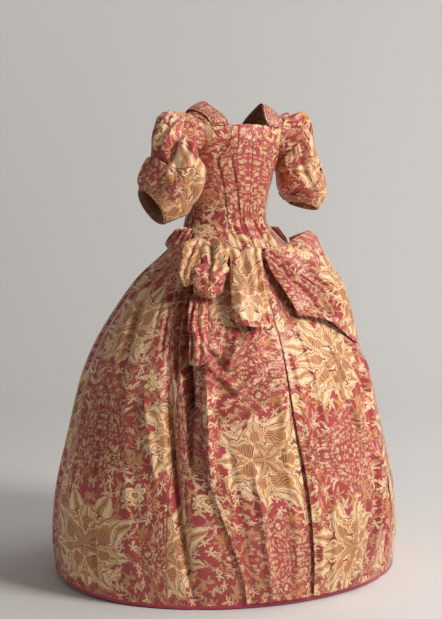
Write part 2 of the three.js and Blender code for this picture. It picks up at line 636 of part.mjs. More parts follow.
// The broad drape over the right hip, lifted off at its upper corner.
const RIGHT_DRAPE = [
  [[-7, -576, 28], [-15, -582, 34], [-24, -598, 34], [-33, -632, 24], [-42, -662, 17], [-55, -674, 9.4], [-67, -678, 1.5]],
  [[-5, -545, 36], [-14, -550, 48], [-25, -560, 48], [-38, -580, 40], [-50, -602, 32], [-62, -614, 26], [-74, -616, 5]],
  [[-3, -505, 36], [-14, -508, 56], [-27, -515, 60], [-41, -525, 62], [-54, -538, 56], [-66, -543, 46], [-77, -543, 16]],
  [[-0.5, -460, 30], [-12, -462, 54], [-26, -466, 66], [-42, -470, 70], [-56, -476, 62], [-68, -482, 52], [-80, -484, 18]],
  [[-0.5, -423, 28], [-11, -420, 44], [-26, -424, 60], [-42, -422, 82], [-57, -420, 96], [-70, -424, 84], [-82, -432, 30]],
  [[-1.5, -404, 30], [-11, -399, 36], [-25, -396, 46], [-42, -386, 82], [-57, -376, 120], [-71, -382, 110], [-83, -394, 52]],
  [[-1.5, -413, 16], [-11, -406, 26], [-24, -394, 36], [-41, -370, 72], [-56, -355, 114], [-71, -362, 104], [-82, -378, 58]],
];
const DRAPE_FOLDS = 3; // soft folds that spread from its upper left corner

// ---------------------------------------------------------------- the whole gown

const mantua = new THREE.Group();
for (const [side, mirror] of [["left", false], ["right", true]]) {
  const back = halfBack(mirror);
  const front = halfFront(mirror);
  const table = mirror ? RIGHT_SLEEVE : LEFT_SLEEVE;
  mantua.add(piece(`bodice_back_${side}`, clothWall(back.grid, back), { turned: true }));
  mantua.add(piece(`bodice_front_${side}`, clothWall(front.grid, front), { turned: true }));
  mantua.add(piece(`robing_${side}`, robing(mirror), { turned: true }));
  mantua.add(piece(`sleeve_${side}`, clothWall(sleeve(table, mirror), { closed: true })));
  mantua.add(piece(`cuff_${side}`, clothWall(cuff(table, mirror), { closed: true })));
}

mantua.add(petticoatBand());
mantua.add(petticoatPanel("petticoat_back", -45, 45, 18));
mantua.add(petticoatPanel("petticoat_left", 45, 135, 18));
mantua.add(petticoatPanel("petticoat_front", 135, 225, 18));
mantua.add(petticoatPanel("petticoat_right", 225, 315, 18));
mantua.add(trainHalf("train_left", 1, 13));
mantua.add(trainHalf("train_right", -1, 15));
mantua.add(drape("train_tail", TAIL, 11, 12));
mantua.add(drape("hip_puff_left", LEFT_PUFF, 10, 10));
mantua.add(drape("hip_roll_left", LEFT_ROLL, 7, 8));
mantua.add(drape("hip_petal_left", LEFT_FAN, 8, 8, { material: brocadeReverse }));
const spread = (u, v) => 5 * Math.cos(2 * Math.PI * DRAPE_FOLDS * (u - 0.2 * v)) * Math.sin(Math.PI * v) ** 0.7;
mantua.add(drape("hip_drape_right", RIGHT_DRAPE, 15, 13, { ripple: spread }));
const rightRuffle = HIP_RUFFLE.map((row) => row.map(([away, z, out]) => [-away - 6, z, out + 1.2]).reverse());
const flute = (u, v) => 5.5 * Math.cos(2 * Math.PI * RUFFLE_WAVES * u) * smooth(v * 1.6);
mantua.add(drape("hip_ruffle_left", HIP_RUFFLE, 4 * RUFFLE_WAVES, 3, { ripple: flute }));
mantua.add(drape("hip_ruffle_right", rightRuffle, 4 * RUFFLE_WAVES, 3, { ripple: flute }));

export default mantua;
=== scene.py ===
"""A mantua of about 1700 with its matching petticoat, in rose-red brocaded silk, as it is worn.

Metres, +Z up, the origin midway between the shoulder seams. The wearer faces -Y, so the train is at
+Y. The tables of places on the cloth are in millimetres, as a cutter's notes would be.
"""

import json
import math

import bpy
import numpy as np
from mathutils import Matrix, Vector

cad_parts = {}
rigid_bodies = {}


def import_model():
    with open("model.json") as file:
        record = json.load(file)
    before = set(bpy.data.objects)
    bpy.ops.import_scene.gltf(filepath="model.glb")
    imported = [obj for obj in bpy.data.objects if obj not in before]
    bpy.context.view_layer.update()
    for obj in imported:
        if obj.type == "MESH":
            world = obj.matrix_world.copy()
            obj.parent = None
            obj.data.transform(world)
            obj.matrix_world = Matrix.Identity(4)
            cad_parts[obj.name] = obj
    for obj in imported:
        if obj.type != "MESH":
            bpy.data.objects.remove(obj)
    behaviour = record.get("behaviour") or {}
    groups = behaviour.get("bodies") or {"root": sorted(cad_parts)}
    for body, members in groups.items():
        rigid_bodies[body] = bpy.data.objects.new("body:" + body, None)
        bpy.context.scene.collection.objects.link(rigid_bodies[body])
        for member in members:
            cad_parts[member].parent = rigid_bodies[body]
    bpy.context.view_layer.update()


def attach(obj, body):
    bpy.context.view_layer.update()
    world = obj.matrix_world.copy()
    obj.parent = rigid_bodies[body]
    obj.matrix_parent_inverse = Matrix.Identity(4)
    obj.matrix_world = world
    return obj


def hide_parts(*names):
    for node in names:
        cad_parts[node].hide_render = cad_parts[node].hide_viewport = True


for thing in list(bpy.data.objects):
    bpy.data.objects.remove(thing)
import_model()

# ---------------------------------------------------------------- studio
# A pale grey paper sweep under and behind the gown, a large soft lamp high on the right, a weak one
# on the left, and a camera behind the wearer's left shoulder at the height of the hips.

TOWARDS_CAMERA = Vector((0.5, 0.866, 0))
TO_THE_RIGHT = Vector((-0.866, 0.5, 0))
FLOOR_Z = -1.318
CAMERA_DISTANCE = 3.7374
CAMERA_SIDE = -0.035
CAMERA_Z = -0.2588
CAMERA_DIP = math.radians(4.885)
LENS_MM, SENSOR_MM = 76.966, 36


def placed(name, data):
    """A new object in the scene."""
    made = bpy.data.objects.new(name, data)
    bpy.context.scene.collection.objects.link(made)
    return made


def seen(side, out, up):
    """A place as the camera sees it: to the right, nearer and up."""
    return TO_THE_RIGHT * side + TOWARDS_CAMERA * out + Vector((0, 0, up))


camera = placed("camera", bpy.data.cameras.new("camera"))
camera.data.lens = LENS_MM
camera.data.sensor_width = SENSOR_MM
camera.location = seen(CAMERA_SIDE, CAMERA_DISTANCE, CAMERA_Z)
looking = seen(0, -math.cos(CAMERA_DIP), -math.sin(CAMERA_DIP))
camera.rotation_euler = looking.to_track_quat("-Z", "Y").to_euler()
bpy.context.scene.camera = camera


def plain(name, colour, finish):
    """A material of one colour. finish holds the shader's other sockets."""
    material = bpy.data.materials.new(name)
    material.use_nodes = True
    shader = material.node_tree.nodes["Principled BSDF"]
    shader.inputs["Base Color"].default_value = colour
    for socket, value in finish.items():
        shader.inputs[socket].default_value = value
    return material


def sweep():
    """A floor that curves up into a wall behind the gown."""
    near, far, radius, top, half_width, steps = 9.0, -5.4, 2.6, 7.0, 12.0, 12
    profile = [(near, 0.0), (1.0, 0.0), (far + radius, 0.0)]
    for step in range(1, steps + 1):
        turn = step / steps * math.pi / 2
        profile.append((far + radius - radius * math.sin(turn), radius - radius * math.cos(turn)))
    profile.append((far, top))
    points = [seen(side, out, FLOOR_Z + up) for out, up in profile for side in (-half_width, half_width)]
    faces = [(2 * i, 2 * i + 1, 2 * i + 3, 2 * i + 2) for i in range(len(profile) - 1)]
    mesh = bpy.data.meshes.new("paper_sweep")
    mesh.from_pydata(points, [], faces)
    mesh.polygons.foreach_set("use_smooth", [True] * len(faces))
    finish = {"Roughness": 0.9, "Specular IOR Level": 0.2}
    mesh.materials.append(plain("pale_paper", (0.74, 0.72, 0.70, 1), finish))
    placed("paper_sweep", mesh)


def soft_lamp(name, place, size, power, colour, aim=(0, 0, -0.6)):
    """A square soft lamp. It and its aim are placed as the camera sees them."""
    lamp = placed(name, bpy.data.lights.new(name, "AREA"))
    lamp.data.size = size
    lamp.data.energy = power
    lamp.data.color = colour
    lamp.location = seen(*place)
    lamp.rotation_euler = (seen(*aim) - lamp.location).to_track_quat("-Z", "Y").to_euler()


WALL_WHITE = (1.0, 0.985, 0.97)
sweep()
soft_lamp("key_lamp", (3.1, 2.0, 1.5), 1.3, 158, (1.0, 0.97, 0.94))
soft_lamp("left_lamp", (-3.0, 2.2, 0.9), 2.0, 11, (1.0, 0.95, 0.9))
soft_lamp("paper_lamp", (2.2, -0.6, 2.6), 2.5, 48, (0.98, 0.99, 1.0))
soft_lamp("right_wall_lamp", (2.9, -2.6, 1.3), 2.0, 36, WALL_WHITE, aim=(0.2, -5.4, 0.2))
soft_lamp("left_wall_lamp", (-2.7, -2.6, 2.6), 2.0, 28, WALL_WHITE, aim=(-1.0, -5.4, 2.4))
world = bpy.data.worlds.new("studio")
world.use_nodes = True
world.node_tree.nodes["Background"].inputs["Color"].default_value = (0.95, 0.94, 0.93, 1)
world.node_tree.nodes["Background"].inputs["Strength"].default_value = 0.16
bpy.context.scene.world = world
bpy.context.scene.view_settings.view_transform = "Standard"

# ---------------------------------------------------------------- petticoat
# Four lengths of brocaded silk satin, joined by upright seams and pleated into a linen-backed band
# at the waist. Wide under-petticoats hold it out in a dome. The hem is bound with crimson ribbon.

MM = 0.001
CLOTH = 1.2  # thickness of the silk with its backing
SEAM = 0.3
HEM_Z = -1300
HEM_DIP = 12  # how far the hem hangs lower at the back than at the front
WAIST_Z = -335
BAND_Z = -345  # the foot of the waistband, where the petticoat's gathers begin
SKIRT_Y = -36  # the skirts hang round an axis in front of the shoulder line
TORSO_TURN = 8  # degrees by which the waist is turned to the wearer's right
LOOM_WIDTH = 0.52  # the silk's width, and the width of one mirrored repeat
REPEAT = 0.60  # the height of one repeat


def smooth(t):
    t = np.clip(t, 0, 1)
    return t * t * (3 - 2 * t)


def spline(keys, values, at):
    """A smooth line through values at rising keys, read at an array of places."""
    keys, values, at = np.asarray(keys, float), np.asarray(values, float), np.asarray(at, float)
    if keys[-1] < keys[0]:
        keys, values = keys[::-1], values[::-1]
    places = at.ravel()
    i = np.clip(np.searchsorted(keys, places, side="right") - 1, 0, len(keys) - 2)
    before, after = np.maximum(i - 1, 0), np.minimum(i + 2, len(keys) - 1)
    wide = (slice(None),) + (None,) * (values.ndim - 1)
    span = (keys[i + 1] - keys[i])[wide]
    t = np.clip((places - keys[i]) / (keys[i + 1] - keys[i]), 0, 1)[wide]
    m0 = (values[i + 1] - values[before]) / (keys[i + 1] - keys[before])[wide] * span
    m1 = (values[after] - values[i]) / (keys[after] - keys[i])[wide] * span
    line = (
        (2 * t**3 - 3 * t**2 + 1) * values[i]
        + (t**3 - 2 * t**2 + t) * m0
        + (3 * t**2 - 2 * t**3) * values[i + 1]
        + (t**3 - t**2) * m1
    )
    return line.reshape(at.shape + values.shape[1:])


def table(names, *rows):
    """Rows of measures under the names of their columns."""
    return [dict(zip(names.split(), row)) for row in rows]


def column(rows, key, name, at):
    return spline([row[key] for row in rows], [row[name] for row in rows], at)


DOME = table(
    "z side back",
    (BAND_Z, 120, 96), (-380, 153, 127), (-415, 186, 155), (-483, 257, 217), (-551, 310, 263),
    (-654, 377, 321), (-757, 424, 361), (-895, 460, 391), (-1069, 501, 427), (-1209, 513, 437),
    (HEM_Z, 503, 429),
)


def twisted(points):
    """Turns each point about the skirts' axis, as far as the body is turned at its height."""
    z = points[..., 2]
    above = smooth((-50 - z) / 285)
    below = 1 - smooth((WAIST_Z - z) / 160)
    turn = np.radians(TORSO_TURN) * np.where(z > WAIST_Z, above, below)
    c, s = np.cos(turn), np.sin(turn)
    x, y = points[..., 0], points[..., 1] - SKIRT_Y
    return np.stack([x * c - y * s, x * s + y * c + SKIRT_Y, z], -1)


def skirt_point(away, z, out):
    """A place on the skirts: degrees round from the middle of the back, height, and distance out."""
    away, z, out = np.broadcast_arrays(away, z, out)
    side = column(DOME, "z", "side", z) + out
    back = column(DOME, "z", "back", z) + out
    turn = np.radians(away)
    z = z - HEM_DIP * smooth((-1100 - z) / 200) * smooth(np.cos(turn) + 0.3)
    return twisted(np.stack([side * np.sin(turn), back * np.cos(turn) + SKIRT_Y, z], -1))


def hump(beside, width):
    return np.exp(-((beside / width) ** 2))


def ends(along, past, soft):
    """1 along a fold, fading out at both ends and gone when it is past them."""
    return smooth((along + past) / soft) * smooth((1 + past - along) / soft)


def ridge(px, py, dx, dy, width, lift, sharp, past, soft):
    """A ridge or trough along a line. Its left flank is steeper where sharp is under 1."""
    length = np.hypot(dx, dy)
    along, beside = (px * dx + py * dy) / length**2, (px * dy - py * dx) / length
    return lift * hump(beside, np.where(beside > 0, width, width * sharp)) * ends(along, past, soft)


def relief(folds, away, z):
    """Soft ridges and troughs along lines from one place on the skirts to another."""
    scale = column(DOME, "z", "side", z) * math.pi / 180
    height = np.zeros(np.broadcast(away, z).shape)
    for away1, z1, away2, z2, width, lift, sharp in folds:
        place = (away - away1) * scale, z - z1
        height += ridge(*place, (away2 - away1) * scale, z2 - z1, width, lift, sharp, 0.08, 0.25)
    return height


def outward(grid, closed=False):
    """The direction out of the cloth at each point of a grid."""
    along = np.roll(grid, -1, 1) - np.roll(grid, 1, 1) if closed else np.gradient(grid, axis=1)
    normal = np.cross(along, np.gradient(grid, axis=0))
    return normal / np.maximum(np.linalg.norm(normal, axis=-1, keepdims=True), 1e-9)


def raised(grid, lift, closed=False):
    return grid + outward(grid, closed) * np.asarray(lift)[..., None]


def laid_flat(grid, closed=False):
    """How far each point lies across and up the flat cloth, in millimetres."""
    ring = np.concatenate([grid, grid[:, :1]], 1) if closed else grid
    steps_across = np.linalg.norm(np.diff(ring, axis=1), axis=-1).mean(0)
    steps_up = np.linalg.norm(np.diff(grid, axis=0), axis=-1).mean(1)
    return np.meshgrid(*(np.concatenate([[0], np.cumsum(steps)]) for steps in (steps_across, steps_up)))


def crumple(across, up, seed, size, height, slant=0.0, stretch=1.0):
    """Small uneven creases, made of a few crossing waves. slant turns them, stretch lengthens them."""
    rng = np.random.default_rng(seed)
    turn = math.radians(slant)
    x = (across * math.cos(turn) + up * math.sin(turn)) / size
    y = (up * math.cos(turn) - across * math.sin(turn)) / (size * stretch)
    total = np.zeros_like(x)
    for scale in (1.0, 0.62, 0.41, 1.7):
        heading = rng.uniform(-0.9, 0.9)
        phase, bend, bend_phase = rng.uniform(0, 6.28, 3)
        wander = 0.5 * np.sin(0.7 * y + bend_phase) * np.cos(bend)
        wave = x * math.cos(heading) + y * math.sin(heading) + wander
        total += scale**0.7 * (1 - 1.6 * np.abs(np.sin(wave / scale * 1.6 + phase)))
    return total * height / 2.4


class Wire:
    """A socket of a material's nodes. Sums on it add Math nodes."""

    def __init__(self, tree, socket=None):
        self.tree, self.socket = tree, socket

    def node(self, kind, settings=None, values=None, output=0):
        made = self.tree.nodes.new(f"ShaderNode{kind}")
        for name, value in (settings or {}).items():
            if name == "bands":
                ramp = made.color_ramp
                ramp.interpolation = "CONSTANT"
                while len(ramp.elements) < len(value):
                    ramp.elements.new(1)
                for element, (place, colour) in zip(ramp.elements, value):
                    element.position, element.color = place, colour
            else:
                setattr(made, name, value)
        for name, value in (values or {}).items():
            if isinstance(value, Wire):
                self.tree.links.new(value.socket, made.inputs[name])
            else:
                made.inputs[name].default_value = value
        return Wire(self.tree, made.outputs[output] if made.outputs else None)

    def output(self, name):
        return Wire(self.tree, self.socket.node.outputs[name])

    def maths(self, operation, *others, clamp=False):
        values = dict(enumerate((self, *others)))
        return self.node("Math", {"operation": operation, "use_clamp": clamp}, values)

    def __add__(self, other):
        return self.maths("ADD", other)

    def __mul__(self, other):
        return self.maths("MULTIPLY", other)

    def __sub__(self, other):
        return self.maths("SUBTRACT", other)

    def __truediv__(self, other):
        return self.maths("DIVIDE", other)

    def __rsub__(self, other):
        return self.node("Math", {"operation": "SUBTRACT"}, {0: other, 1: self})

    def __abs__(self):
        return self.maths("ABSOLUTE")

    __radd__, __rmul__ = __add__, __mul__

    def parts(self):
        """The three parts of a place or a colour."""
        split = self.node("SeparateXYZ", values={0: self})
        return [split.output(name) for name in "XYZ"]

    def under(self, limit, soft):
        """1 where the value is under a limit and 0 over it, with a soft edge."""
        return self.maths("MULTIPLY_ADD", -1 / soft, limit / soft + 0.5, clamp=True)

    def between(self, below, above):
        """One colour where this is 0, and another laid over it where this is 1."""
        return self.node("Mix", {"data_type": "RGBA"}, {0: self, 6: below, 7: above}, output=2)


def length_of(x, y):
    return (x * x + y * y).maths("SQRT")


def clouds(place, scale, detail, distortion=0.0):
    """Soft noise over the flat cloth."""
    values = {"Vector": place, "Scale": scale, "Detail": detail, "Distortion": distortion}
    return place.node("TexNoise", {"noise_dimensions": "2D"}, values)


def strewn(place, per_metre, randomness):
    """Places strewn over the flat cloth, with the distance to the nearest."""
    values = {"Vector": place, "Scale": per_metre, "Randomness": randomness}
    return place.node("TexVoronoi", {"voronoi_dimensions": "2D"}, values)


def dye(red, green, blue):
    """A colour as the eye reads it, 0 to 255, as linear light."""
    return tuple(((value / 255 + 0.055) / 1.055) ** 2.4 for value in (red, green, blue)) + (1.0,)


GROUND = dye(198, 86, 86)
SHADE = dye(146, 54, 54)
CREAM = dye(242, 208, 164)
GOLD = dye(212, 146, 80)
TAN = dye(200, 150, 106)
RUST = dye(156, 82, 60)
BACK_PETAL = [(0.00, RUST), (0.04, TAN), (0.20, GOLD), (0.27, CREAM), (0.62, TAN), (0.70, CREAM)]
FRONT_PETAL = [
    (0.00, RUST), (0.03, TAN), (0.16, CREAM), (0.30, RUST), (0.34, CREAM), (0.46, GOLD), (0.51, TAN),
    (0.60, RUST), (0.64, CREAM), (0.76, TAN),
]
CROWN_PETAL = [(0.00, TAN), (0.20, RUST), (0.30, TAN), (0.60, CREAM)]
ROSE_RINGS = [(0.0, GOLD), (0.22, RUST), (0.34, CREAM), (0.62, GOLD), (0.74, CREAM)]
CLUSTER_RADIUS = 0.098
FLORETS_PER_METRE, SPRIGS_PER_METRE = 92.0, 38.0
LEAF_LENGTH = 0.0172
ROSE_RADIUS = 0.018


def woven_flowers(start):
    """The brocade's drawing. Gives its place on the cloth, its colour and where the flowers' wefts lie."""
    flat = start.node("UVMap", {"uv_map": "cut"})
    u, v, _ = flat.parts()
    folded_u, folded_v = u.maths("PINGPONG", LOOM_WIDTH / 2), v.maths("WRAP", REPEAT, 0.0)

    # The drawing is bent a little, the same way in every repeat and its mirror image.
    on_repeat = start.node("CombineXYZ", values={0: folded_u, 1: folded_v})

    def bend(scale, detail, reach):
        sideways, upwards, _ = clouds(on_repeat, scale, detail).output("Color").parts()
        return (sideways - 0.5) * reach, (upwards - 0.5) * reach

    slow_x, slow_y = bend(11.0, 1.0, 0.06)
    quick_x, quick_y = bend(55.0, 2.0, 0.010)
    calm = (folded_u * 14.0).maths("MINIMUM", 1.0)
    calm = calm * ((LOOM_WIDTH / 2 - folded_u) * 14.0).maths("MINIMUM", 1.0)
    x = folded_u + (slow_x + quick_x) * calm
    y = folded_v + slow_y + quick_y

    # Each bloom stands on one mirror line, and the next one up stands on the other.
    upper = y.maths("GREATER_THAN", REPEAT / 2)
    dx = x + upper * (LOOM_WIDTH / 2 - 2 * x)
    dy = y - REPEAT / 4 - upper * (REPEAT / 2)
    radius = length_of(dx, dy)
    turn = dx.maths("ARCTAN2", dy)

    def petals(count, size, shift, teeth, bands):
        """A ring of toothed petals. Gives its colours, and how far beside and along a petal a place is."""
        half = math.pi / count
        axis = (turn + shift).maths("WRAP", half, -half)
        tip = radius / ((turn.maths("COSINE") * 0.16 + 1) * size)
        along = (tip * axis.maths("COSINE")).maths("MINIMUM", 0.99999)
        wide = (along * (1 - along)).maths("POWER", 0.45) * (1.22 * size * math.tan(half))
        toothed = wide * (abs((along * teeth + axis * 3.0).maths("SINE")) * 0.30 + 0.78)
        beside = abs(axis.maths("SINE") * radius) / (toothed + 0.0002)
        return start.node("ValToRGB", {"bands": bands}, {0: beside * 0.8}), beside, along

    def heart_of(beside, along):
        return length_of((along - 0.50) * (1 / 0.19), beside * (1 / 0.40))

    back, back_edge, back_along = petals(9, 0.132, math.pi / 9, 12.0, BACK_PETAL)
    front, front_edge, front_along = petals(7, 0.104, 0.0, 14.0, FRONT_PETAL)
    crown, crown_edge, _ = petals(5, 0.040, math.pi / 5, 8.0, CROWN_PETAL)
    back_heart, front_heart = heart_of(back_edge, back_along), heart_of(front_edge, front_along)
    hatch = (front_along * 120.0 + front_edge * 10.0).maths("SINE").under(0.1, 0.6)

    # Small six-petalled roses half way between the blooms.
    rose_x, rose_y = x - LOOM_WIDTH / 4, y.maths("WRAP", REPEAT / 4, -REPEAT / 4)
    rose_lobe = abs((rose_x.maths("ARCTAN2", rose_y) * 3.0).maths("COSINE"))
    rose_depth = length_of(rose_x, rose_y) / (rose_lobe * 0.011 + ROSE_RADIUS)
    rose = rose_depth.under(1.0, 0.06)
    rose_rings = start.node("ValToRGB", {"bands": ROSE_RINGS}, {0: rose_depth})

    # Clusters of small ringed florets on the other mirror line, opposite each bloom.
    cluster = length_of(LOOM_WIDTH / 2 - dx, dy * 0.92).under(CLUSTER_RADIUS, 0.012)
    spread = start.node("CombineXYZ", values={0: x, 1: y})
    florets = strewn(spread, FLORETS_PER_METRE, 0.85)
    floret_d = florets.output("Distance")
    floret = floret_d.under(0.31, 0.10)
    eye = floret_d.under(0.12, 0.08)
    floret_chance = florets.output("Color").parts()[0]

    # Sprigs of four or five leaves over the rest of the ground, joined by thin stems.
    sprigs = strewn(spread, SPRIGS_PER_METRE, 0.75)
    leaf = start.node("VectorMath", {"operation": "SUBTRACT"}, {0: spread, 1: sprigs.output("Position")})
    leaf_x, leaf_y, _ = leaf.parts()
    turn_chance, tan_chance, gold_chance = sprigs.output("Color").parts()
    leaf_r = length_of(leaf_x, leaf_y)
    leaf_turn = leaf_x.maths("ARCTAN2", leaf_y) + turn_chance * 6.28
    leaf_lobe = abs((leaf_turn * 2.5).maths("COSINE"))
    fan = leaf_turn.maths("COSINE") * 0.28 + 0.80
    leaf_reach = leaf_lobe.maths("POWER", 2.2) * fan * LEAF_LENGTH + 0.0016
    leaves = (leaf_r / leaf_reach).under(1.0, 0.09)
    leaf_veins = leaf_lobe.maths("GREATER_THAN", 0.985) * leaf_r.maths("GREATER_THAN", 0.004)
    stems = abs(clouds(spread, 11.0, 0.5) - 0.5).under(0.010, 0.006)

    # The colours are laid over each other as the weaver's shuttles bring them up.
    ground = clouds(flat, 9.0, 3.0).between(SHADE, GROUND)
    colour = stems.between(ground, TAN)
    leaf_colour = tan_chance.under(0.35, 0.3).between(CREAM, TAN)
    leaf_colour = gold_chance.under(0.15, 0.04).between(leaf_colour, GOLD)
    colour = leaves.between(colour, leaf_veins.between(leaf_colour, TAN))
    floret_colour = eye.between(floret_chance.between(CREAM, TAN), RUST)
    floret_ground = (floret_chance.under(0.2, 0.04) * floret_d.under(0.55, 0.05)).between(ground, TAN)
    colour = cluster.between(colour, floret.between(floret_ground, floret_colour))
    colour = rose.between(colour, rose_rings)
    colour = back_edge.under(1.0, 0.10).between(colour, back)
    back_hatch = (back_edge * 30.0).maths("SINE").under(0.0, 0.6).between(RUST, TAN)
    colour = back_heart.under(0.55, 0.08).between(colour, back_hatch)
    colour = front_edge.under(1.16, 0.06).between(colour, SHADE)
    colour = front_edge.under(1.0, 0.06).between(colour, front)
    colour = front_heart.under(1.24, 0.06).between(colour, GOLD)
    colour = front_heart.under(1.0, 0.06).between(colour, hatch.between(RUST, TAN))
    colour = crown_edge.under(1.25, 0.08).between(colour, SHADE)
    colour = crown_edge.under(1.0, 0.08).between(colour, crown)
    bloom = back_edge.under(1.0, 0.1).maths("MAXIMUM", front_edge.under(1.0, 0.06))
    woven = stems.maths("MAXIMUM", leaves).maths("MAXIMUM", cluster * floret).maths("MAXIMUM", rose)
    return flat, u, v, colour, woven.maths("MAXIMUM", bloom)


WEFT, WARP = 0.0011, 0.0016  # the spacing of the threads and of the satin's fine cords
SLACK = 0.007  # how high the slack silk ripples between its folds


def brocade(name, backwards=False):
    """Silk satin with brocaded flowers; backwards shows the duller reverse with its loose wefts."""
    material = bpy.data.materials.new(name)
    material.use_nodes = True
    tree = material.node_tree
    tree.nodes.clear()
    start = Wire(tree)
    flat, u, v, colour, woven = woven_flowers(start)
    wear = clouds(flat, 5.0, 4.0)
    threads = (v * (2 * math.pi / WEFT)).maths("SINE")
    cords = (u * (2 * math.pi / WARP)).maths("SINE")
    weave = woven * threads * 0.5 + (1 - woven) * cords * 0.25
    value = wear * 0.34 + 0.83 + weave * 0.05
    toned = start.node("HueSaturation", values={"Color": colour, "Value": value})
    if backwards:
        toned = (0.5 + cords * 0.1).between(toned, dye(176, 142, 100))
    height = clouds(flat, 16.0, 2.5, 0.8) * SLACK + woven * 0.00035 + weave * 0.00006
    bump = start.node("Bump", values={"Strength": 0.8, "Distance": 1.0, "Height": height})
    finish = {
        "Base Color": toned,
        "Roughness": woven * 0.1 + (0.55 if backwards else 0.31),
        "Sheen Weight": 0.12,
        "Specular IOR Level": 0.55,
        "Specular Tint": (1.0, 0.79, 0.68, 1.0),
        "Normal": bump,
    }
    start.node("OutputMaterial", values={"Surface": start.node("BsdfPrincipled", values=finish)})
    return material


silk_faces = brocade("silk_brocade"), brocade("silk_brocade_reverse", backwards=True)
ribbon_silk = plain("crimson_ribbon", dye(186, 52, 78), {"Roughness": 0.42, "Sheen Weight": 0.2})
thread_silk = plain("sewing_silk", dye(150, 58, 58), {"Roughness": 0.6, "Sheen Weight": 0.2})


def cloth(name, grid, *, flat, held, rests_on, pattern, slot="silk_brocade", closed=False, keep=None,
          towards=1, quarter_turn=False, area=None, base=None, strip=None, trims=()):
    """A shell of cloth from a grid of points in millimetres: rows go up the cloth, and columns from
    right to left as seen from outside. pattern is where its lower edge lies on the silk; towards is
    -1 where the drawing runs the other way, quarter_turn lays the silk sideways, and strip is the height
    of the short lengths that a band is pieced from. trims, the pieces sewn to it, is not used."""
    rows, columns = grid.shape[:2]
    across, up = laid_flat(grid if base is None else base, closed)
    quads, cut = [], []
    for j in range(rows - 1):
        for i in range(columns if closed else columns - 1):
            if keep is not None and not keep[j, i]:
                continue
            k = (i + 1) % columns
            quads.append((j * columns + i, j * columns + k, (j + 1) * columns + k, (j + 1) * columns + i))
            cut += [(j, i), (j, i + 1), (j + 1, i + 1), (j + 1, i)]
    used = sorted({index for quad in quads for index in quad})
    place = {old: new for new, old in enumerate(used)}
    mesh = bpy.data.meshes.new(name)
    points = grid.reshape(-1, 3)[used] * MM
    mesh.from_pydata(points.tolist(), [], [tuple(place[index] for index in quad) for quad in quads])
    rows_at, columns_at = np.array(cut).T
    u = pattern[0] + towards * across[rows_at, columns_at] * MM
    v = up[rows_at, columns_at] * MM
    if strip:
        v = strip - np.abs(v % (2 * strip) - strip)
    v = v + pattern[1]
    on_silk = np.stack([v, u] if quarter_turn else [u, v], -1)
    mesh.uv_layers.new(name="cut").data.foreach_set("uv", on_silk.astype(np.float32).ravel())
    mesh.polygons.foreach_set("use_smooth", [True] * len(mesh.polygons))
    for material in silk_faces:
        mesh.materials.append(material)
    made = placed(f"{name}_silk", mesh)
    wall = made.modifiers.new("cloth", "SOLIDIFY")
    wall.thickness = CLOTH * MM
    wall.offset = -1
    wall.material_offset = 1
    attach(made, "root")
    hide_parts(name)


def trim(name, points, faces, material, rounded=False):
    """A piece sewn to the cloth."""
    mesh = bpy.data.meshes.new(name)
    mesh.from_pydata(points, [], faces)
    mesh.polygons.foreach_set("use_smooth", [rounded] * len(faces))
    mesh.materials.append(material)
    made = placed(name, mesh)
    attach(made, "root")
    return made


PETTICOAT_PLEATS = [  # away1, z1, away2, z2, width, lift, sharp
    (88, -400, 71, -740, 24, -15, 0.45), (58, -400, 36, -1300, 26, -15, 0.4),
    (52, -400, 38, -860, 18, -20, 0.5), (112, -400, 104, -1310, 40, -13, 0.5),
    (136, -385, 140, -1240, 42, -14, 0.5), (160, -390, 166, -1310, 38, -11, 0.55),
]
SOFT_FLUTES = [  # shallower ones between them, fading at different heights
    (78, -430, 62, -900, 16, 5, 0.7), (69, -520, 56, -1180, 22, 4, 0.6), (97, -430, 88, -1050, 20, 5, 0.6),
    (104, -640, 97, -1310, 24, -4, 0.7), (122, -400, 120, -980, 18, 5, 0.6),
    (129, -620, 131, -1310, 26, 4, 0.7), (147, -400, 150, -860, 16, 4, 0.6),
    (153, -560, 157, -1300, 26, -4, 0.7), (172, -400, 174, -1120, 22, 5, 0.6),
    (64, -760, 51, -1290, 20, -4, 0.5), (46, -560, 41, -820, 9, 5, 0.6),
]
PLEAT_MOUTHS = [  # narrow and deep, where the pleats' edges stand over each other
    (51, -470, 39, -820, 15, -58, 0.5), (57, -430, 46, -740, 9, -32, 0.5),
    (62, -440, 54, -680, 6, -17, 0.6), (67, -430, 61, -620, 5, -11, 0.6),
    (93, -415, 72, -690, 7, -22, 0.4), (49, -760, 37, -1270, 10, -22, 0.4),
    (43, -640, 38, -960, 9, -32, 0.5), (118, -410, 110, -800, 8, -20, 0.4),
    (141, -400, 143, -740, 8, -20, 0.4), (166, -400, 170, -860, 8, -18, 0.4),
    (80, -700, 70, -1290, 11, -11, 0.4), (105, -760, 100, -1300, 11, -11, 0.4),
    (133, -740, 136, -1300, 11, -11, 0.4), (58, -760, 49, -1000, 9, 10, 0.5),
]
GATHERS = 18
# A narrow crimson ribbon is folded over the raw hem and stitched down.
RIBBON_PROFILE = [(-3.0, 0.2), (0.5, 1.0), (3.5, 0.9), (5.5, 0.3)]  # above the hem, and out of the silk


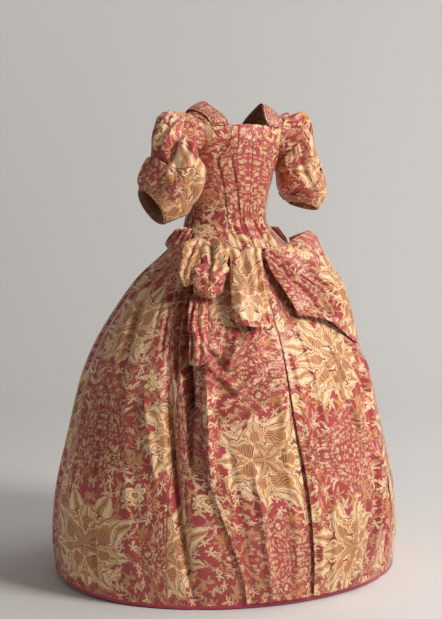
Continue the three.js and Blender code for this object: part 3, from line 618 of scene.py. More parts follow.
def petticoat_out(away, z):
    """How far the petticoat's folds and gathers stand out of the dome. Both sides have the same."""
    fade = smooth((BAND_Z - z) / 50) * (1 - smooth((-470 - z) / 260))
    gather = (np.cos(GATHERS * np.radians(away)) - 1) * 3.2 * fade
    fine = np.cos(GATHERS * 3.1 * np.radians(away) + 1.3) * 0.9 * fade
    one_side = PETTICOAT_PLEATS + SOFT_FLUTES + PLEAT_MOUTHS
    other_side = [(-away1, z1, -away2, z2, *rest) for away1, z1, away2, z2, *rest in one_side]
    folds = relief(one_side + other_side, away, z)
    return folds * smooth((-350 - z) / 70) + gather + np.minimum(fine, 0.2)


def petticoat_length(name, start, end, pattern_u, columns):
    gap = SEAM / 2 / 4.6  # in degrees
    away = np.linspace(end - gap, start + gap, columns)[None, :]
    z = np.linspace(HEM_Z, BAND_Z, 131)[:, None]
    away, z = np.broadcast_arrays(away, z)
    up, out = np.array(RIBBON_PROFILE).T[..., None]
    hem = skirt_point(away[:4], HEM_Z + up, petticoat_out(away[:4], HEM_Z + up))
    ribbon = raised(hem, np.broadcast_to(out, (4, columns)))
    faces = [
        (j * columns + i, j * columns + i + 1, (j + 1) * columns + i + 1, (j + 1) * columns + i)
        for j in range(3)
        for i in range(columns - 1)
    ]
    points = (ribbon.reshape(-1, 3) * MM).tolist()
    binding = trim(f"{name}_hem_ribbon", points, faces, ribbon_silk, rounded=True)
    cloth(
        name, skirt_point(away, z, petticoat_out(away, z)), flat=(LOOM_WIDTH * 1.3, 1.09), held="gathered",
        rests_on=["petticoat_waistband"], pattern=(pattern_u, 0.02), trims=[binding],
    )


petticoat_length("petticoat_back", -45, 45, 0.0, 150)
petticoat_length("petticoat_left", 45, 135, 0.13, 150)
petticoat_length("petticoat_front", 135, 225, 0.0, 120)
petticoat_length("petticoat_right", 225, 315, 0.05, 130)


def waistband():
    away = np.linspace(0, -360, 145)[:-1][None, :]
    z = np.array([-344.7, -338, -331, -324, -317])[:, None]
    points = skirt_point(away, np.full_like(z, BAND_Z), -0.1)
    points[..., 2] = z
    cloth(
        "petticoat_waistband", points, flat=(0.72, 0.028), held="gathered", rests_on=["bodice_back_left"],
        closed=True, pattern=(0.0, 0.0),
    )


waistband()

# ---------------------------------------------------------------- train
# The back skirt of the gown, two lengths that part along the middle of the back. It is looped up at
# the hips, so its left half swags towards its free edge and both hang over the petticoat.

TRAIN_FOLDS = [
    (9, -575, 31, -700, 16, 27, 0.5), (13, -655, 38, -738, 14, 24, 0.5), (9, -622, 34, -718, 9, -18, 0.7),
    (8, -735, 30, -830, 16, 15, 0.5), (34, -600, 32, -1000, 18, 12, 0.7), (8, -700, 5, -1290, 18, 9, 0.6),
    (0, -640, -3, -1290, 13, 8, 0.6), (-12, -640, -30, -960, 22, -12, 0.5),
    (-40, -690, -26, -1200, 22, 18, 0.35), (-14, -660, -34, -1020, 16, 13, 0.4),
    (-12, -900, -18, -1290, 30, 8, 0.7), (43, -520, 36, -700, 13, 12, 0.5),
    (35, -690, 31, -980, 12, 13, 0.5),
]
TRAIN_CREASES = [  # narrower ones that the loops pull into the silk
    (8, -640, 33, -750, 8, -14, 0.5), (12, -700, 30, -800, 11, 13, 0.5), (7, -745, 24, -860, 13, 10, 0.5),
    (10, -790, 28, -880, 8, -10, 0.6), (27, -600, 30, -740, 7, -14, 0.6), (22, -610, 27, -720, 7, 12, 0.7),
    (16, -600, 20, -680, 7, -11, 0.7), (12, -590, 15, -660, 6, 9, 0.7), (36, -640, 33, -900, 6, -11, 0.5),
    (34, -890, 8, -896, 3, 2.6, 1), (-5, -888, -36, -884, 3, 2.4, 1), (18, -960, 13, -1290, 15, 10, 0.5),
    (26, -900, 19, -1290, 13, -9, 0.5), (-6, -590, -9, -900, 8, 9, 0.5),
    (-20, -640, -27, -920, 10, 12, 0.5), (-29, -650, -40, -880, 10, -14, 0.4),
    (-34, -640, -45, -760, 8, 12, 0.5), (-24, -960, -22, -1290, 13, -9, 0.5),
    (-8, -1000, -7, -1290, 12, 8, 0.5), (-36, -980, -31, -1270, 12, 8, 0.5),
    (35, -655, 24, -725, 9, -16, 0.6), (26, -722, 6, -668, 9, -15, 0.6), (34, -690, 22, -765, 10, 15, 0.5),
    (24, -764, 6, -716, 10, 14, 0.5),
]
TRAIN_EDGE = table(  # degrees to the free edges and to the parting, and how far the edge stands out
    "z left right part lift",
    (-1292, 20.5, -26, -0.2, 7), (-1237, 21.5, -28, 0.2, 8), (-1144, 25, -34, 0.7, 9),
    (-1030, 30, -41, 1.2, 10), (-956, 33, -44, 1.8, 10), (-781, 35, -48, 3.7, 10), (-644, 37, -51, 3.8, 9),
    (-581, 40, -52, 4, 8), (-505, 44, -53, 4.2, 6), (-405, 50, -54, 2, 3.6),
)
TRAIN_TOP_Z = -408
SIDES = {"left": 1, "right": -1}


def train_half(side_name, side):
    share = np.linspace(0, 1, 96)[None, :]
    if side > 0:
        share = share[:, ::-1]
    z = np.linspace(TRAIN_EDGE[0]["z"], TRAIN_TOP_Z, 180)[:, None]
    share, z = np.broadcast_arrays(share, z)
    open_by = 0.09 + 0.75 * smooth((-560 - z) / 560)
    part = column(TRAIN_EDGE, "z", "part", z) + side * open_by
    away = part + (column(TRAIN_EDGE, "z", side_name, z) - part) * share
    out = column(TRAIN_EDGE, "z", "lift", z) + relief(TRAIN_FOLDS + TRAIN_CREASES, away, z)
    out = np.maximum(out, 3.6) + 1.2 * np.exp(-share / 0.012) * smooth((-560 - z) / 200)
    cloth(
        f"train_{side_name}", skirt_point(away, z, out), flat=(0.30, 0.98), held="hung",
        rests_on=["petticoat_back"], quarter_turn=True, pattern=(0.0, 0.14), towards=side,
    )


for side_name, side in SIDES.items():
    train_half(side_name, side)

# ---------------------------------------------------------------- loops of the train
# Where the train is caught up, its cloth falls in a tail over the middle of the back, puffs and rolls
# at the left hip, and hangs in one broad drape over the right hip. Their edges are turned under.


def drape(name, net, columns, rows, ripple=None, creases=(), crumples=(), **cut):
    """Cloth over the hips from a net of places [degrees, height, distance out], foot row first. The
    creases run between shares of its width and height, and their widths and heights are in mm."""
    net = np.array(net, float)
    u, v = np.linspace(0, 1, columns), np.linspace(0, 1, rows)
    across = spline(range(net.shape[1]), net.swapaxes(0, 1), u * (net.shape[1] - 1))
    places = spline(range(net.shape[0]), across.swapaxes(0, 1), v * (net.shape[0] - 1))
    uu, vv = np.meshgrid(u, v)
    out = places[..., 2] + (ripple(uu, vv) if ripple else 0)
    smooth_cloth = skirt_point(places[..., 0], places[..., 1], out)
    flat_x, flat_y = laid_flat(smooth_cloth)
    wide, high = flat_x.max(), flat_y.max()
    lift = np.zeros_like(uu)
    for x1, y1, x2, y2, width, height in creases:
        place = flat_x - x1 * wide, flat_y - y1 * high
        lift += ridge(*place, (x2 - x1) * wide, (y2 - y1) * high, width, height, 1, 0.1, 0.3)
    for seed, size, height, slant, stretch in crumples:
        lift += crumple(flat_x, flat_y, seed, size, height, slant, stretch)
    edges = smooth(uu / 0.12) * smooth((1 - uu) / 0.12) * smooth(vv / 0.12) * smooth((1 - vv) / 0.12)
    grid = raised(smooth_cloth, lift * (0.15 + 0.85 * edges))
    cloth(name, grid, base=smooth_cloth, **cut)


TAIL = [
    [[20, -588, 20], [23, -586, 34], [18, -596, 42], [12, -603, 30], [7, -606, 19], [4.5, -600, 14]],
    [[21, -560, 14], [25, -556, 44], [19, -562, 54], [12, -566, 42], [7, -568, 29], [5, -566, 16]],
    [[21, -505, 7.8], [26, -503, 50], [19, -506, 60], [12, -508, 52], [7, -508, 38], [5, -508, 18]],
    [[23, -455, 6.6], [27, -452, 46], [19, -455, 57], [12, -456, 50], [6, -456, 38], [3.5, -455, 18]],
    [[25, -423, 20], [28, -416, 36], [19, -415, 46], [12, -415, 42], [6, -415, 36], [2, -417, 24]],
    [[26, -409, 26], [28, -401, 30], [19, -398, 36], [12, -397, 36], [5, -398, 33], [1, -402, 30]],
    [[26, -416, 14], [27, -413, 15], [19, -412, 17], [12, -412, 17], [5, -413, 16], [1.5, -414, 14]],
]
drape(
    "train_tail", TAIL, 80, 90,
    creases=[
        (0.12, 0.0, 0.22, 0.85, 9, -9), (0.66, 0.0, 0.58, 0.9, 9, 6), (0.82, 0.0, 0.76, 0.95, 7, -12),
        (0.1, 0.5, 0.9, 0.46, 3, -2), (0.35, 0.98, 0.5, 0.6, 9, -6), (0.9, 0.6, 0.6, 0.25, 8, -8),
        (0.34, 0.0, 0.4, 0.45, 10, 6),
    ],
    crumples=[(3, 70, 3.0, 80, 2.5)],
    flat=(0.15, 0.25), held="folded", rests_on=["train_left"], pattern=(0.335, 0.325), towards=-1,
)

LEFT_PUFF = [
    [[42, -508, 26], [42, -518, 36], [35, -526, 48], [30, -516, 40], [28, -504, 26]],
    [[43, -492, 24], [43, -494, 50], [36, -498, 72], [30, -490, 58], [27.5, -488, 14]],
    [[44, -460, 14], [44, -456, 66], [36.5, -460, 88], [30, -456, 66], [27.5, -452, 8]],
    [[45, -425, 18], [45, -418, 66], [38, -416, 86], [31, -416, 64], [28, -420, 16]],
    [[47, -398, 27], [47, -384, 56], [40, -378, 66], [33, -382, 54], [29, -396, 30]],
    [[47, -400, 24], [46.5, -390, 33], [40, -384, 38], [34, -390, 35], [30, -402, 28]],
]
drape(
    "hip_puff_left", LEFT_PUFF, 90, 90,
    creases=[
        (0.28, 1.0, 0.5, 0.2, 9, -20), (0.6, 1.0, 0.62, 0.3, 10, -16), (0.82, 0.95, 0.74, 0.05, 8, -14),
        (0.12, 0.95, 0.3, 0.05, 9, 13), (0.45, 0.9, 0.88, 0.3, 10, 13), (0.1, 0.5, 0.6, 0.68, 8, -14),
        (0.3, 0.2, 0.9, 0.08, 8, -9), (0.05, 0.25, 0.45, 0.35, 7, -8),
    ],
    crumples=[(5, 46, 8.0, 60, 1.6)],
    flat=(0.16, 0.19), held="gathered", rests_on=["train_left"], pattern=(0.12, 0.28),
)

LEFT_ROLL = [
    [[40, -692, 11.2], [40.5, -694, 17], [38, -696, 21], [35.5, -692, 24], [34, -690, 22]],
    [[40, -640, 10], [42, -640, 24], [39, -642, 33], [35.5, -640, 30], [34, -638, 20]],
    [[42.5, -585, 7.2], [44, -585, 30], [41, -585, 42], [37, -585, 34], [35, -585, 14]],
    [[43.5, -545, 8.2], [44.5, -545, 28], [41.5, -545, 36], [38, -545, 28], [36, -545, 9.2]],
    [[44, -512, 7.2], [44, -512, 13], [41, -512, 17], [38, -512, 15], [36.5, -512, 7.5]],
]
drape(
    "hip_roll_left", LEFT_ROLL, 70, 100,
    creases=[(0.30, 0.0, 0.42, 0.95, 6, -13), (0.66, 0.0, 0.6, 0.95, 6, -10), (0.7, 0.2, 0.4, 0.6, 6, 7)],
    crumples=[(7, 46, 5.0, 85, 2.2)],
    flat=(0.09, 0.22), held="folded", rests_on=["train_left"], pattern=(0.2, 0.05),
)

LEFT_FAN = [
    [[53, -484, 26], [50, -494, 44], [47, -496, 50], [43.5, -486, 40]],
    [[57, -460, 8], [54, -466, 64], [50, -466, 76], [44, -458, 56]],
    [[61, -432, 6], [58, -432, 70], [53, -430, 84], [46, -424, 62]],
    [[64, -402, 34], [61.5, -396, 66], [56, -392, 80], [48.5, -394, 60]],
    [[65, -380, 30], [62, -370, 54], [57.5, -368, 66], [50.5, -376, 52]],
]
drape(
    "hip_petal_left", LEFT_FAN, 70, 80,
    creases=[
        (0.5, 0.0, 0.3, 1.0, 8, -15), (0.66, 0.0, 0.66, 0.95, 8, -12), (0.3, 0.1, 0.12, 1.0, 7, -10),
        (0.84, 0.05, 0.88, 0.9, 7, -9), (0.4, 0.0, 0.46, 1.0, 7, 9), (0.8, 0.7, 0.3, 0.45, 8, -8),
    ],
    crumples=[(9, 44, 6.0, 75, 1.8)],
    flat=(0.12, 0.135), held="folded", rests_on=["petticoat_left"], pattern=(-0.08, 0.09),
    slot="brocade_reverse",
)

RIGHT_DRAPE = [
    [[-7, -576, 28], [-15, -582, 34], [-24, -598, 34], [-33, -632, 24], [-42, -662, 17], [-55, -674, 9.4],
     [-67, -678, 1.5]],
    [[-5, -545, 36], [-14, -550, 48], [-25, -560, 48], [-38, -580, 40], [-50, -602, 32], [-62, -614, 26],
     [-74, -616, 5]],
    [[-3, -505, 36], [-14, -508, 56], [-27, -515, 60], [-41, -525, 62], [-54, -538, 56], [-66, -543, 46],
     [-77, -543, 16]],
    [[-0.5, -460, 30], [-12, -462, 54], [-26, -466, 66], [-42, -470, 70], [-56, -476, 62], [-68, -482, 52],
     [-80, -484, 18]],
    [[-0.5, -423, 28], [-11, -420, 44], [-26, -424, 60], [-42, -422, 82], [-57, -420, 96], [-70, -424, 84],
     [-82, -432, 30]],
    [[-1.5, -404, 30], [-11, -399, 36], [-25, -396, 46], [-42, -386, 82], [-57, -376, 120],
     [-71, -382, 110], [-83, -394, 52]],
    [[-1.5, -413, 16], [-11, -406, 26], [-24, -394, 36], [-41, -370, 72], [-56, -355, 114],
     [-71, -362, 104], [-82, -378, 58]],
]


def drape_spread(u, v):
    """Three shallow waves that fan out from the right hip."""
    return 5 * np.cos(2 * math.pi * 3 * (u - 0.2 * v)) * np.sin(math.pi * v) ** 0.7


drape(
    "hip_drape_right", RIGHT_DRAPE, 140, 110, ripple=drape_spread,
    creases=[
        (0.02, 0.92, 0.40, 0.02, 9, -20), (0.06, 0.98, 0.58, 0.12, 10, -17),
        (0.12, 1.0, 0.78, 0.30, 10, -15), (0.2, 1.0, 0.95, 0.55, 9, -12), (0.02, 0.8, 0.24, 0.0, 8, -13),
        (0.04, 0.9, 0.34, 0.0, 9, 12), (0.1, 0.96, 0.5, 0.06, 10, 12), (0.16, 1.0, 0.68, 0.2, 12, 11),
        (0.3, 1.0, 0.9, 0.42, 12, 10), (0.55, 0.4, 0.8, 0.02, 9, -10), (0.72, 0.4, 0.96, 0.15, 9, -9),
    ],
    crumples=[(11, 74, 6.0, -35, 2.6)],
    flat=(0.42, 0.30), held="gathered", rests_on=["train_right"], pattern=(0.0, 0.33),
)

# ---------------------------------------------------------------- hip ruffles
# The gathered upper edge of the skirt opening stands up over each hip in five waves. The right one is
# the left one's mirror image, set six degrees further forward.

RUFFLE_WAVES = 5
HIP_RUFFLE = [
    [[101, -408, 0.7], [84, -412, 0.7], [68, -408, 0.7]],
    [[103, -392, 24], [84, -392, 30], [68, -390, 26]],
    [[103, -370, 32], [84, -368, 40], [68.5, -366, 34]],
    [[101, -350, 34], [84, -346, 42], [69, -346, 38]],
]
RIGHT_RUFFLE = [[[-away - 6, z, out + 1.2] for away, z, out in row][::-1] for row in HIP_RUFFLE]


def flute(u, v):
    return 5.5 * np.cos(2 * math.pi * RUFFLE_WAVES * u) * smooth(v * 1.6)


for ruffle, net, seed in (("hip_ruffle_left", HIP_RUFFLE, 13), ("hip_ruffle_right", RIGHT_RUFFLE, 14)):
    drape(
        ruffle, net, 110, 26, ripple=flute, crumples=[(seed, 24, 4.0, 85, 2)],
        flat=(0.155, 0.068), held="gathered", rests_on=["petticoat_left"], pattern=(0.22, 0.2),
    )

# ---------------------------------------------------------------- bodice
# Two backs cut in one with the train's top, each with two pleats stitched down from the neck to the
# waist, and two fronts that meet down the middle. Side seams and shoulder seams join them.


def armhole(turn):
    """The seam of the left armhole, at degrees round from the back."""
    c, s = np.cos(np.radians(turn)), np.sin(np.radians(turn))
    back = c > 0
    return np.stack([
        149 - np.where(back, 30, 22) * c * c,
        -15 + np.where(back, 72, 58) * c + 15 * s,
        -94 + 61 * s,
    ], -1)


BACK_ROWS = (
    table(
        "z middle side centre spread",
        (-405, 126, 192, SKIRT_Y, 58), (-384, 107, 170, SKIRT_Y, 64), (-360, 84, 146, SKIRT_Y, 76),
        (WAIST_Z, 64, 124, SKIRT_Y, 90), (-300, 61, 121, SKIRT_Y, 90), (-250, 66, 127, -35, 90),
        (-200, 76, 138, -32, 90), (-155, 86, 149, -30, 90),
    )
    + table("z middle hole spread", (-128, 91, -50, 74), (-96, 94, -12, 64), (-62, 90, 22, 56))
    + table("hole spread neck", (46, 50, (65, 60, -43)), (68, 46, (78, 32, -23)), (90, 44, (92, 0, 0)))
)
FRONT_ROWS = (
    table(
        "z middle side centre spread",
        (BAND_Z, -138, 131, SKIRT_Y, 90), (-322, -136, 124.5, SKIRT_Y, 90), (-300, -131, 121, SKIRT_Y, 90),
        (-250, -142, 127, -35, 90), (-200, -156, 138, -32, 90), (-155, -162, 149, -30, 90),
    )
    + table("z middle hole spread", (-138, -157, 244, 80), (-118, -150, 222, 72))
    + table(
        "hole spread neck",
        (200, 66, (67, -124, -101)), (178, 60, (70, -106, -82)), (142, 52, (78, -66, -42)),
        (114, 47, (87, -27, -13)), (90, 44, (92, 0, 0)),
    )
)
UNDER_NECK = 0.36  # the share of a section that lies under the neckline
BACK_NECK_COLUMN, FRONT_NECK_COLUMN = 6, 4
BACK_NECK_ROW, FRONT_NECK_ROW = 10, 7
NECK_Z = -62  # the highest section that reaches the middle of the back


def section(row, share, out_way):
    """Points of one section of the bodice's left half, from the middle to the side or armhole."""
    share = np.asarray(share, float)
    last = math.radians(row["spread"])
    if "hole" in row:
        end = armhole(np.array(float(row["hole"])))
    else:
        reach = row["middle"] - row["centre"]
        end = np.array([row["side"] * math.sin(last), row["centre"] + reach * math.cos(last), row["z"]])
    if "neck" in row:
        start = np.array(row["neck"], float)
        t = np.clip((share - UNDER_NECK) / (1 - UNDER_NECK), 0, 1)
    else:
        start, t = np.array([0.0, row["middle"], row["z"]]), share
    bow = (np.cos(t * last) - math.cos(last)) / (1 - math.cos(last))
    swing = np.sin(t * last) / math.sin(last)
    return np.stack([
        start[0] + (end[0] - start[0]) * swing,
        end[1] + (start[1] - end[1]) * bow + out_way * SEAM / 2,
        start[2] + (end[2] - start[2]) * t**1.4,
    ], -1)


PLEAT_EDGE = 0.012
INNER_PLEAT, OUTER_PLEAT = table(  # the share of the back's width at which each one lies
    "top waist skirt height", (0.27, 0.15, 0.16, 2.6), (0.43, 0.345, 0.36, 2.4)
)
BACK_COLUMNS = 13
INNER_EDGE_COLUMN, OUTER_EDGE_COLUMN = 9.0, 6.0  # where the pleats' lower edges lie in the coarse grid
OPEN_BELOW_WAIST = [(22, 9), (47, 10)]  # distance from the middle and depth of each pleat's mouth


def pleat_at(pleat, z):
    if z > WAIST_Z:
        rise = float(smooth((z - WAIST_Z) / (NECK_Z - WAIST_Z)))
        return pleat["waist"] + (pleat["top"] - pleat["waist"]) * rise
    return pleat["waist"] + (pleat["skirt"] - pleat["waist"]) * (WAIST_Z - z) / 70


def back_columns(z):
    inner, outer = pleat_at(INNER_PLEAT, z), pleat_at(OUTER_PLEAT, z)
    fade = 1 - 0.6 * float(smooth((z + 100) / 40))
    high, low = (INNER_PLEAT["height"] + OUTER_PLEAT["height"]) * fade, OUTER_PLEAT["height"] * fade
    shares = [0.0012, inner * 0.5, inner - PLEAT_EDGE, inner + PLEAT_EDGE, (inner + outer) / 2,
              outer - PLEAT_EDGE, outer + PLEAT_EDGE]
    start = outer + PLEAT_EDGE
    shares += [start + (1 - start) * step / 6 for step in range(1, 7)]
    return np.array(shares), np.array([high, high, high, low, low, low, 0] + [0] * 6)


def half_back():
    """The left back, as a coarse grid from the side seam to the middle, and how far it is raised."""
    flat, lift = [], []
    for row in BACK_ROWS:
        shares, outs = back_columns(row.get("z", NECK_Z))
        if "neck" in row:
            turn_up = (np.arange(BACK_COLUMNS) - BACK_NECK_COLUMN) / (BACK_COLUMNS - 1 - BACK_NECK_COLUMN)
            shares, outs = UNDER_NECK + (1 - UNDER_NECK) * np.clip(turn_up, 0, 1), np.zeros(BACK_COLUMNS)
        flat.append(section(row, shares, 1)[::-1])
        lift.append(outs[::-1])
    return raised(np.array(flat), np.array(lift))


def half_front():
    shares = [0.0012 + (UNDER_NECK - 0.0012) * i / 4 for i in range(5)]
    shares += [UNDER_NECK + (1 - UNDER_NECK) * i / 5 for i in range(1, 6)]
    return np.array([section(row, shares, -1) for row in FRONT_ROWS])


def mirrored(grid):
    return grid[:, ::-1] * np.array([-1, 1, 1])


def finer(grid, rows_at, columns_at):
    """A coarse grid of points, filled in smoothly at the given rows and columns."""
    filled = spline(range(grid.shape[1]), grid.swapaxes(0, 1), columns_at)
    return spline(range(grid.shape[0]), filled.swapaxes(0, 1), rows_at)


def bodice_panel(name, coarse, neck_row, neck_column, side, front):
    """One panel. neck_row and neck_column say where the neckline turns up out of the grid."""
    last_row, last_column = coarse.shape[0] - 1, coarse.shape[1] - 1
    rows_at = np.concatenate([np.linspace(0, neck_row, 81)[:-1], np.linspace(neck_row, last_row, 25)])
    turn = last_column - neck_column if not front else neck_column
    columns_at = np.concatenate([np.linspace(0, turn, 37)[:-1], np.linspace(turn, last_column, 37)])
    grid = finer(coarse, rows_at, columns_at)
    cc, rr = np.meshgrid(columns_at, rows_at)
    across, up = laid_flat(grid)
    fade = smooth(rr / 0.8) * smooth((last_row - rr) / 1.5)
    fade = fade * smooth(cc / 1.2) * smooth((last_column - cc) / 1.2)
    pulls = crumple(across, up, 17 + front, 44, 1.1, 12, 3.5) * fade
    if not front:
        pulls = pulls * smooth((turn - cc) / 2)
        z = grid[..., 2]
        for from_middle, depth in OPEN_BELOW_WAIST:
            mouth = hump(across.max() - across - from_middle, 3.2)
            pulls = pulls - depth * mouth * smooth((-268 - z) / 80)
        for pleat_edge in (OUTER_EDGE_COLUMN, INNER_EDGE_COLUMN):  # above it the edges are stitched down
            sunk = hump(cc - pleat_edge, 0.28)
            pulls = pulls - 3.0 * sunk * smooth((-100 - z) / 90) * smooth((z + 330) / 60)
    grid = raised(grid, pulls)
    keep = np.ones((len(rows_at) - 1, len(columns_at) - 1), bool)
    above = rows_at[:-1] >= neck_row - 1e-6
    beyond = columns_at[:-1] >= turn - 1e-6 if not front else columns_at[1:] <= turn + 1e-6
    keep[np.ix_(above, beyond)] = False
    if side < 0:
        grid, keep = mirrored(grid), keep[:, ::-1]
    grid = twisted(grid)
    width, height = across.max() * MM, up.max() * MM
    towards = side if front else -side
    cloth(
        name, grid, flat=(width, height), area=width * height * 0.78, held="gathered",
        rests_on=["petticoat_waistband"], keep=keep, pattern=(width if towards < 0 else 0.0, 0.22),
        towards=towards,
    )


for side_name, side in SIDES.items():
    bodice_panel(f"bodice_back_{side_name}", half_back(), BACK_NECK_ROW, BACK_NECK_COLUMN, side, False)
    bodice_panel(f"bodice_front_{side_name}", half_front(), FRONT_NECK_ROW, FRONT_NECK_COLUMN, side, True)

# ---------------------------------------------------------------- robings
# A band of the same silk, cut where the flowers are small, laid on each side of the opening from the
# front waist over the shoulder to the back neck, and stitched along both edges.

ROBING_GAP, ROBING_SEAT = 3.1, 1.0  # how far it lies off the bodice over the shoulder, and below
ROBING_COLUMNS = 5
STITCH_SPACING = 6.5
STITCH_CORNERS = [(-1.3, 0, 0), (1.3, 0, 0), (0, -0.32, 0), (0, 0.32, 0), (0, 0, 0.42), (0, 0, -0.2)]
STITCH_SIDES = [(0, 2, 4), (2, 1, 4), (1, 3, 4), (3, 0, 4), (2, 0, 5), (1, 2, 5), (3, 1, 5), (0, 3, 5)]


def robing_faces(more):
    """The band's own coarse grid, up the front, over the shoulder and down the back neck."""
    front, back = half_front(), half_back()
    clear = np.where(np.arange(len(FRONT_ROWS)) > 4, ROBING_GAP, ROBING_SEAT)[:, None] + more
    rows = raised(front, np.broadcast_to(clear, front.shape[:2]))
    rows = rows[:, FRONT_NECK_COLUMN:FRONT_NECK_COLUMN + ROBING_COLUMNS]
    behind = raised(back, np.full(back.shape[:2], more + ROBING_GAP))[BACK_NECK_ROW:-1][::-1]
    end = BACK_COLUMNS - BACK_NECK_COLUMN
    return np.concatenate([rows, behind[:, end - ROBING_COLUMNS:end][:, ::-1]])


def stitches(name, lines):
    """Small raised stitches along lines of points with the cloth's outward directions, as one mesh."""
    points, faces = [], []
    for line, away_from in lines:
        run = np.concatenate([[0], np.cumsum(np.linalg.norm(np.diff(line, axis=0), axis=1))])
        for at in np.arange(STITCH_SPACING / 2, run[-1] - 1.5, STITCH_SPACING):
            middle, ahead, up = (
                np.array([np.interp(place, run, values[:, i]) for i in range(3)])
                for place, values in ((at, line), (at + 1, line), (at, away_from))
            )
            along = (ahead - middle) / np.linalg.norm(ahead - middle)
            across = np.cross(up, along)
            first = len(points)
            for a, b, c in STITCH_CORNERS:
                points.append(tuple((middle + a * along + b * across + c * up) * MM))
            faces += [tuple(first + corner for corner in side) for side in STITCH_SIDES]
    return trim(name, points, faces, thread_silk)


def robing(side_name, side):
    coarse = robing_faces(1.6)
    grid = finer(coarse, np.linspace(0, len(coarse) - 1, 190), np.linspace(0, ROBING_COLUMNS - 1, 26))
    across, up = laid_flat(grid)
    swell = 0.5 * np.sin(across / across.max() * math.pi)
    grid = raised(grid, swell + crumple(across, up, 21, 30, 0.4, 0, 2))
    if side < 0:
        grid = mirrored(grid)
    grid = twisted(grid)
    sewn = outward(grid)
    rows = [(grid[:, i], sewn[:, i]) for i in (1, -2)]
    cloth(
        f"robing_{side_name}", grid, flat=(across.max() * MM, up.max() * MM), held="stretched",
        rests_on=[f"bodice_front_{side_name}", f"bodice_back_{side_name}"], pattern=(0.225, 0.07),
        strip=0.16, trims=[stitches(f"robing_{side_name}_stitches", rows)],
    )


for side_name, side in SIDES.items():
    robing(side_name, side)

# ---------------------------------------------------------------- sleeves
# Full to the elbow and pleated into the armhole, with the fullness caught in deep slanting folds and
# a cuff turned back over the elbow. The two arms are bent a little differently.

LEFT_SLEEVE = table(
    "x y z turn round deep",
    (182, 8, -92, 30, 78, 68), (203, 50, -126, 50, 86, 76), (205, 52, -162, 66, 90, 76),
    (212, 45, -200, 74, 92, 78), (218, 28, -240, 66, 88, 78), (240, 26, -270, 50, 70, 66),
    (272, 24, -289, 33, 50, 54),
)
RIGHT_SLEEVE = table(
    "x y z turn round deep",
    (179, 0, -88, 25, 80, 72), (197, -8, -122, 46, 82, 68), (208, -2, -164, 66, 72, 60),
    (215, 0, -206, 80, 78, 62), (220, 5, -240, 92, 76, 60), (225, 9, -268, 102, 60, 48),
    (228, 11, -286, 108, 50, 41),
)
SLEEVE_GATHERS = 12


def sleeve_points(arm, turn, along, side):
    """Places on a sleeve: degrees round it, and how far along from the armhole to its foot."""
    turn, along = np.broadcast_arrays(turn, along)
    at = along * len(arm)
    edge = armhole(turn)
    edge[..., 0] = side * (edge[..., 0] + SEAM)
    hole = twisted(edge)
    hole[..., 0] *= side

    def read(name):
        return spline(range(1, len(arm) + 1), [row[name] for row in arm], np.maximum(1, at))

    tilt = np.radians(read("turn"))
    c, s = np.cos(np.radians(turn)), np.sin(np.radians(turn))
    body = np.stack([
        read("x") + read("deep") * s * np.sin(tilt),
        read("y") + read("round") * c,
        read("z") + read("deep") * s * np.cos(tilt),
    ], -1)
    share = np.clip(at, 0, 1)[..., None]
    return np.where(share >= 1, body, hole * (1 - share) + body * share)


def round_folds(folds, turn, along):
    """Folds on a tube: turn1, along1, turn2, along2, half width in degrees, height."""
    lift = np.zeros(turn.shape)
    for turn1, along1, turn2, along2, width, height in folds:
        t = (along - along1) / (along2 - along1)
        beside = (turn - (turn1 + (turn2 - turn1) * t) + 180) % 360 - 180
        lift += height * hump(beside, width) * ends(t, 0.12, 0.35)
    return lift


def tube(name, plain_form, lift, side, flat, rests_on, pattern):
    """A closed tube of cloth round the arm, raised from its plain form by its folds."""
    grid = raised(plain_form, lift, closed=True)
    if side < 0:
        grid, plain_form = mirrored(grid), mirrored(plain_form)
    cloth(
        name, grid, base=plain_form, flat=flat, held="gathered", closed=True, rests_on=[rests_on],
        pattern=pattern,
    )


def round_grid(columns, rows):
    """Degrees round a tube, and the share of its length, foot row first."""
    turn = np.linspace(360, 0, columns, endpoint=False)[None, :]
    return np.broadcast_arrays(turn, np.linspace(1, 0, rows)[:, None])


def tube_crumple(plain_form, seed, size, height, slant, stretch):
    across, up = laid_flat(plain_form, closed=True)
    return crumple(across[:, :-1], up[:, :-1], seed, size, height, slant, stretch)


def sleeve(side_name, arm, folds, seed):
    side = SIDES[side_name]
    turn, along = round_grid(180, 84)
    plain_form = sleeve_points(arm, turn, along, side)
    gather = np.cos(SLEEVE_GATHERS * np.radians(turn)) * 3.4
    gather = gather * smooth(along / 0.12) * (1 - smooth((along - 0.2) / 0.5))
    fine = np.cos(29 * np.radians(turn) + 2 * np.sin(np.radians(turn * 3))) * 2.6
    gather += fine * smooth(along / 0.05) * (1 - smooth((along - 0.1) / 0.3))
    small = tube_crumple(plain_form, seed, 62, 5.0, 60, 2.2) * smooth(along / 0.3)
    lift = gather + round_folds(folds, turn, along) + small * smooth((1 - along) / 0.06)
    on = f"bodice_back_{side_name}"
    tube(f"sleeve_{side_name}", plain_form, lift, side, (LOOM_WIDTH, 0.27), on, (0.02, 0.1))


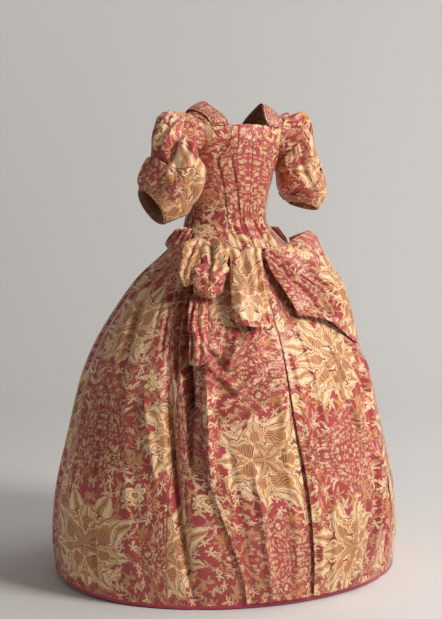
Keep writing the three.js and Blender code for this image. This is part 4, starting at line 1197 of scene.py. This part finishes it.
LEFT_SLEEVE_FOLDS = [
    (15, 0.02, 62, 0.66, 8, -15), (42, 0.0, 84, 0.5, 7, -10), (-10, 0.05, 26, 0.7, 8, 9),
    (30, 0.05, 72, 0.5, 6, 8), (70, 0.02, 98, 0.6, 7, 9), (58, 0.0, 90, 0.35, 5, -8),
    (85, 0.0, 104, 0.5, 6, -9), (110, 0.02, 118, 0.6, 8, -11), (98, 0.02, 110, 0.5, 6, 7),
    (140, 0.02, 150, 0.7, 9, -9), (126, 0.0, 136, 0.5, 7, 7), (-40, 0.1, -8, 0.75, 9, -9),
    (170, 0.05, 190, 0.6, 9, 9), (215, 0.1, 240, 0.7, 11, -9), (60, 0.42, 20, 0.8, 8, 11),
    (95, 0.46, 60, 0.82, 7, -10), (130, 0.5, 105, 0.8, 7, 8), (35, 0.5, 5, 0.76, 6, -9),
]
RIGHT_SLEEVE_FOLDS = [
    (20, 0.02, 50, 0.55, 8, -12), (52, 0.0, 84, 0.5, 7, 9), (-10, 0.05, 26, 0.62, 8, 8),
    (36, 0.0, 66, 0.4, 6, -9), (80, 0.0, 100, 0.6, 7, -10), (66, 0.0, 90, 0.35, 5, 7),
    (112, 0.02, 122, 0.6, 8, 9), (96, 0.0, 110, 0.45, 6, -8), (140, 0.02, 152, 0.62, 9, -9),
    (-40, 0.1, -8, 0.7, 9, -9), (175, 0.05, 190, 0.6, 9, 9), (215, 0.1, 240, 0.65, 11, -9),
    (24, 0.40, 78, 0.60, 6, -14), (70, 0.44, 36, 0.72, 7, 11), (100, 0.42, 62, 0.64, 6, -10),
]
sleeve("left", LEFT_SLEEVE, LEFT_SLEEVE_FOLDS, 31)
sleeve("right", RIGHT_SLEEVE, RIGHT_SLEEVE_FOLDS, 33)

# ---------------------------------------------------------------- cuffs
# The end of each sleeve is turned back over the elbow and pleated there, so its pleats fan out from
# the bend of the arm to the outside.

CUFF_STAND, CUFF_FOOT, CUFF_LEAST = 4.0, 2.35, 2.6  # how far it stands off the sleeve, in millimetres
CUFF_PLEATS = [(62, 24, 9), (118, 22, 8), (15, 20, 7), (172, 24, 7)]  # degrees round, half width, height
CUFF_CREASES = [
    (38, 5, -7), (90, 6, -9), (140, 6, -8), (76, 5, 5), (106, 5, 5), (0, 7, -6), (200, 8, -6),
    (235, 9, 5), (270, 8, -5), (305, 9, 5), (335, 7, -6), (52, 4, -5), (122, 4, -5), (24, 4, 4),
]


def cuff(side_name, arm, seed, flat):
    side = SIDES[side_name]
    turn, down = round_grid(170, 42)
    top = 0.66 - 0.16 * np.sin(np.radians(turn))
    plain_form = sleeve_points(arm, turn, top + (0.985 - top) * down, side)
    swell = np.sin(math.pi * np.clip(0.12 + 0.88 * down, 0, 1))
    pleats = np.zeros(turn.shape)
    for middle, width, height in CUFF_PLEATS + CUFF_CREASES:
        beside = (turn - middle - 14 * np.sin(down * 2.2) + 180 + 9) % 360 - 180
        pleats += height * hump(beside, width)
    small = tube_crumple(plain_form, seed, 34, 3.4, 70, 2.0)
    lift = CUFF_STAND + (CUFF_FOOT - CUFF_STAND) * down**3 + swell * (pleats + small * 0.8)
    lift = np.maximum(lift, CUFF_LEAST)
    tube(f"cuff_{side_name}", plain_form, lift, side, flat, f"sleeve_{side_name}", (0.2, 0.38))


cuff("left", LEFT_SLEEVE, 41, (0.46, 0.11))
cuff("right", RIGHT_SLEEVE, 43, (0.38, 0.095))
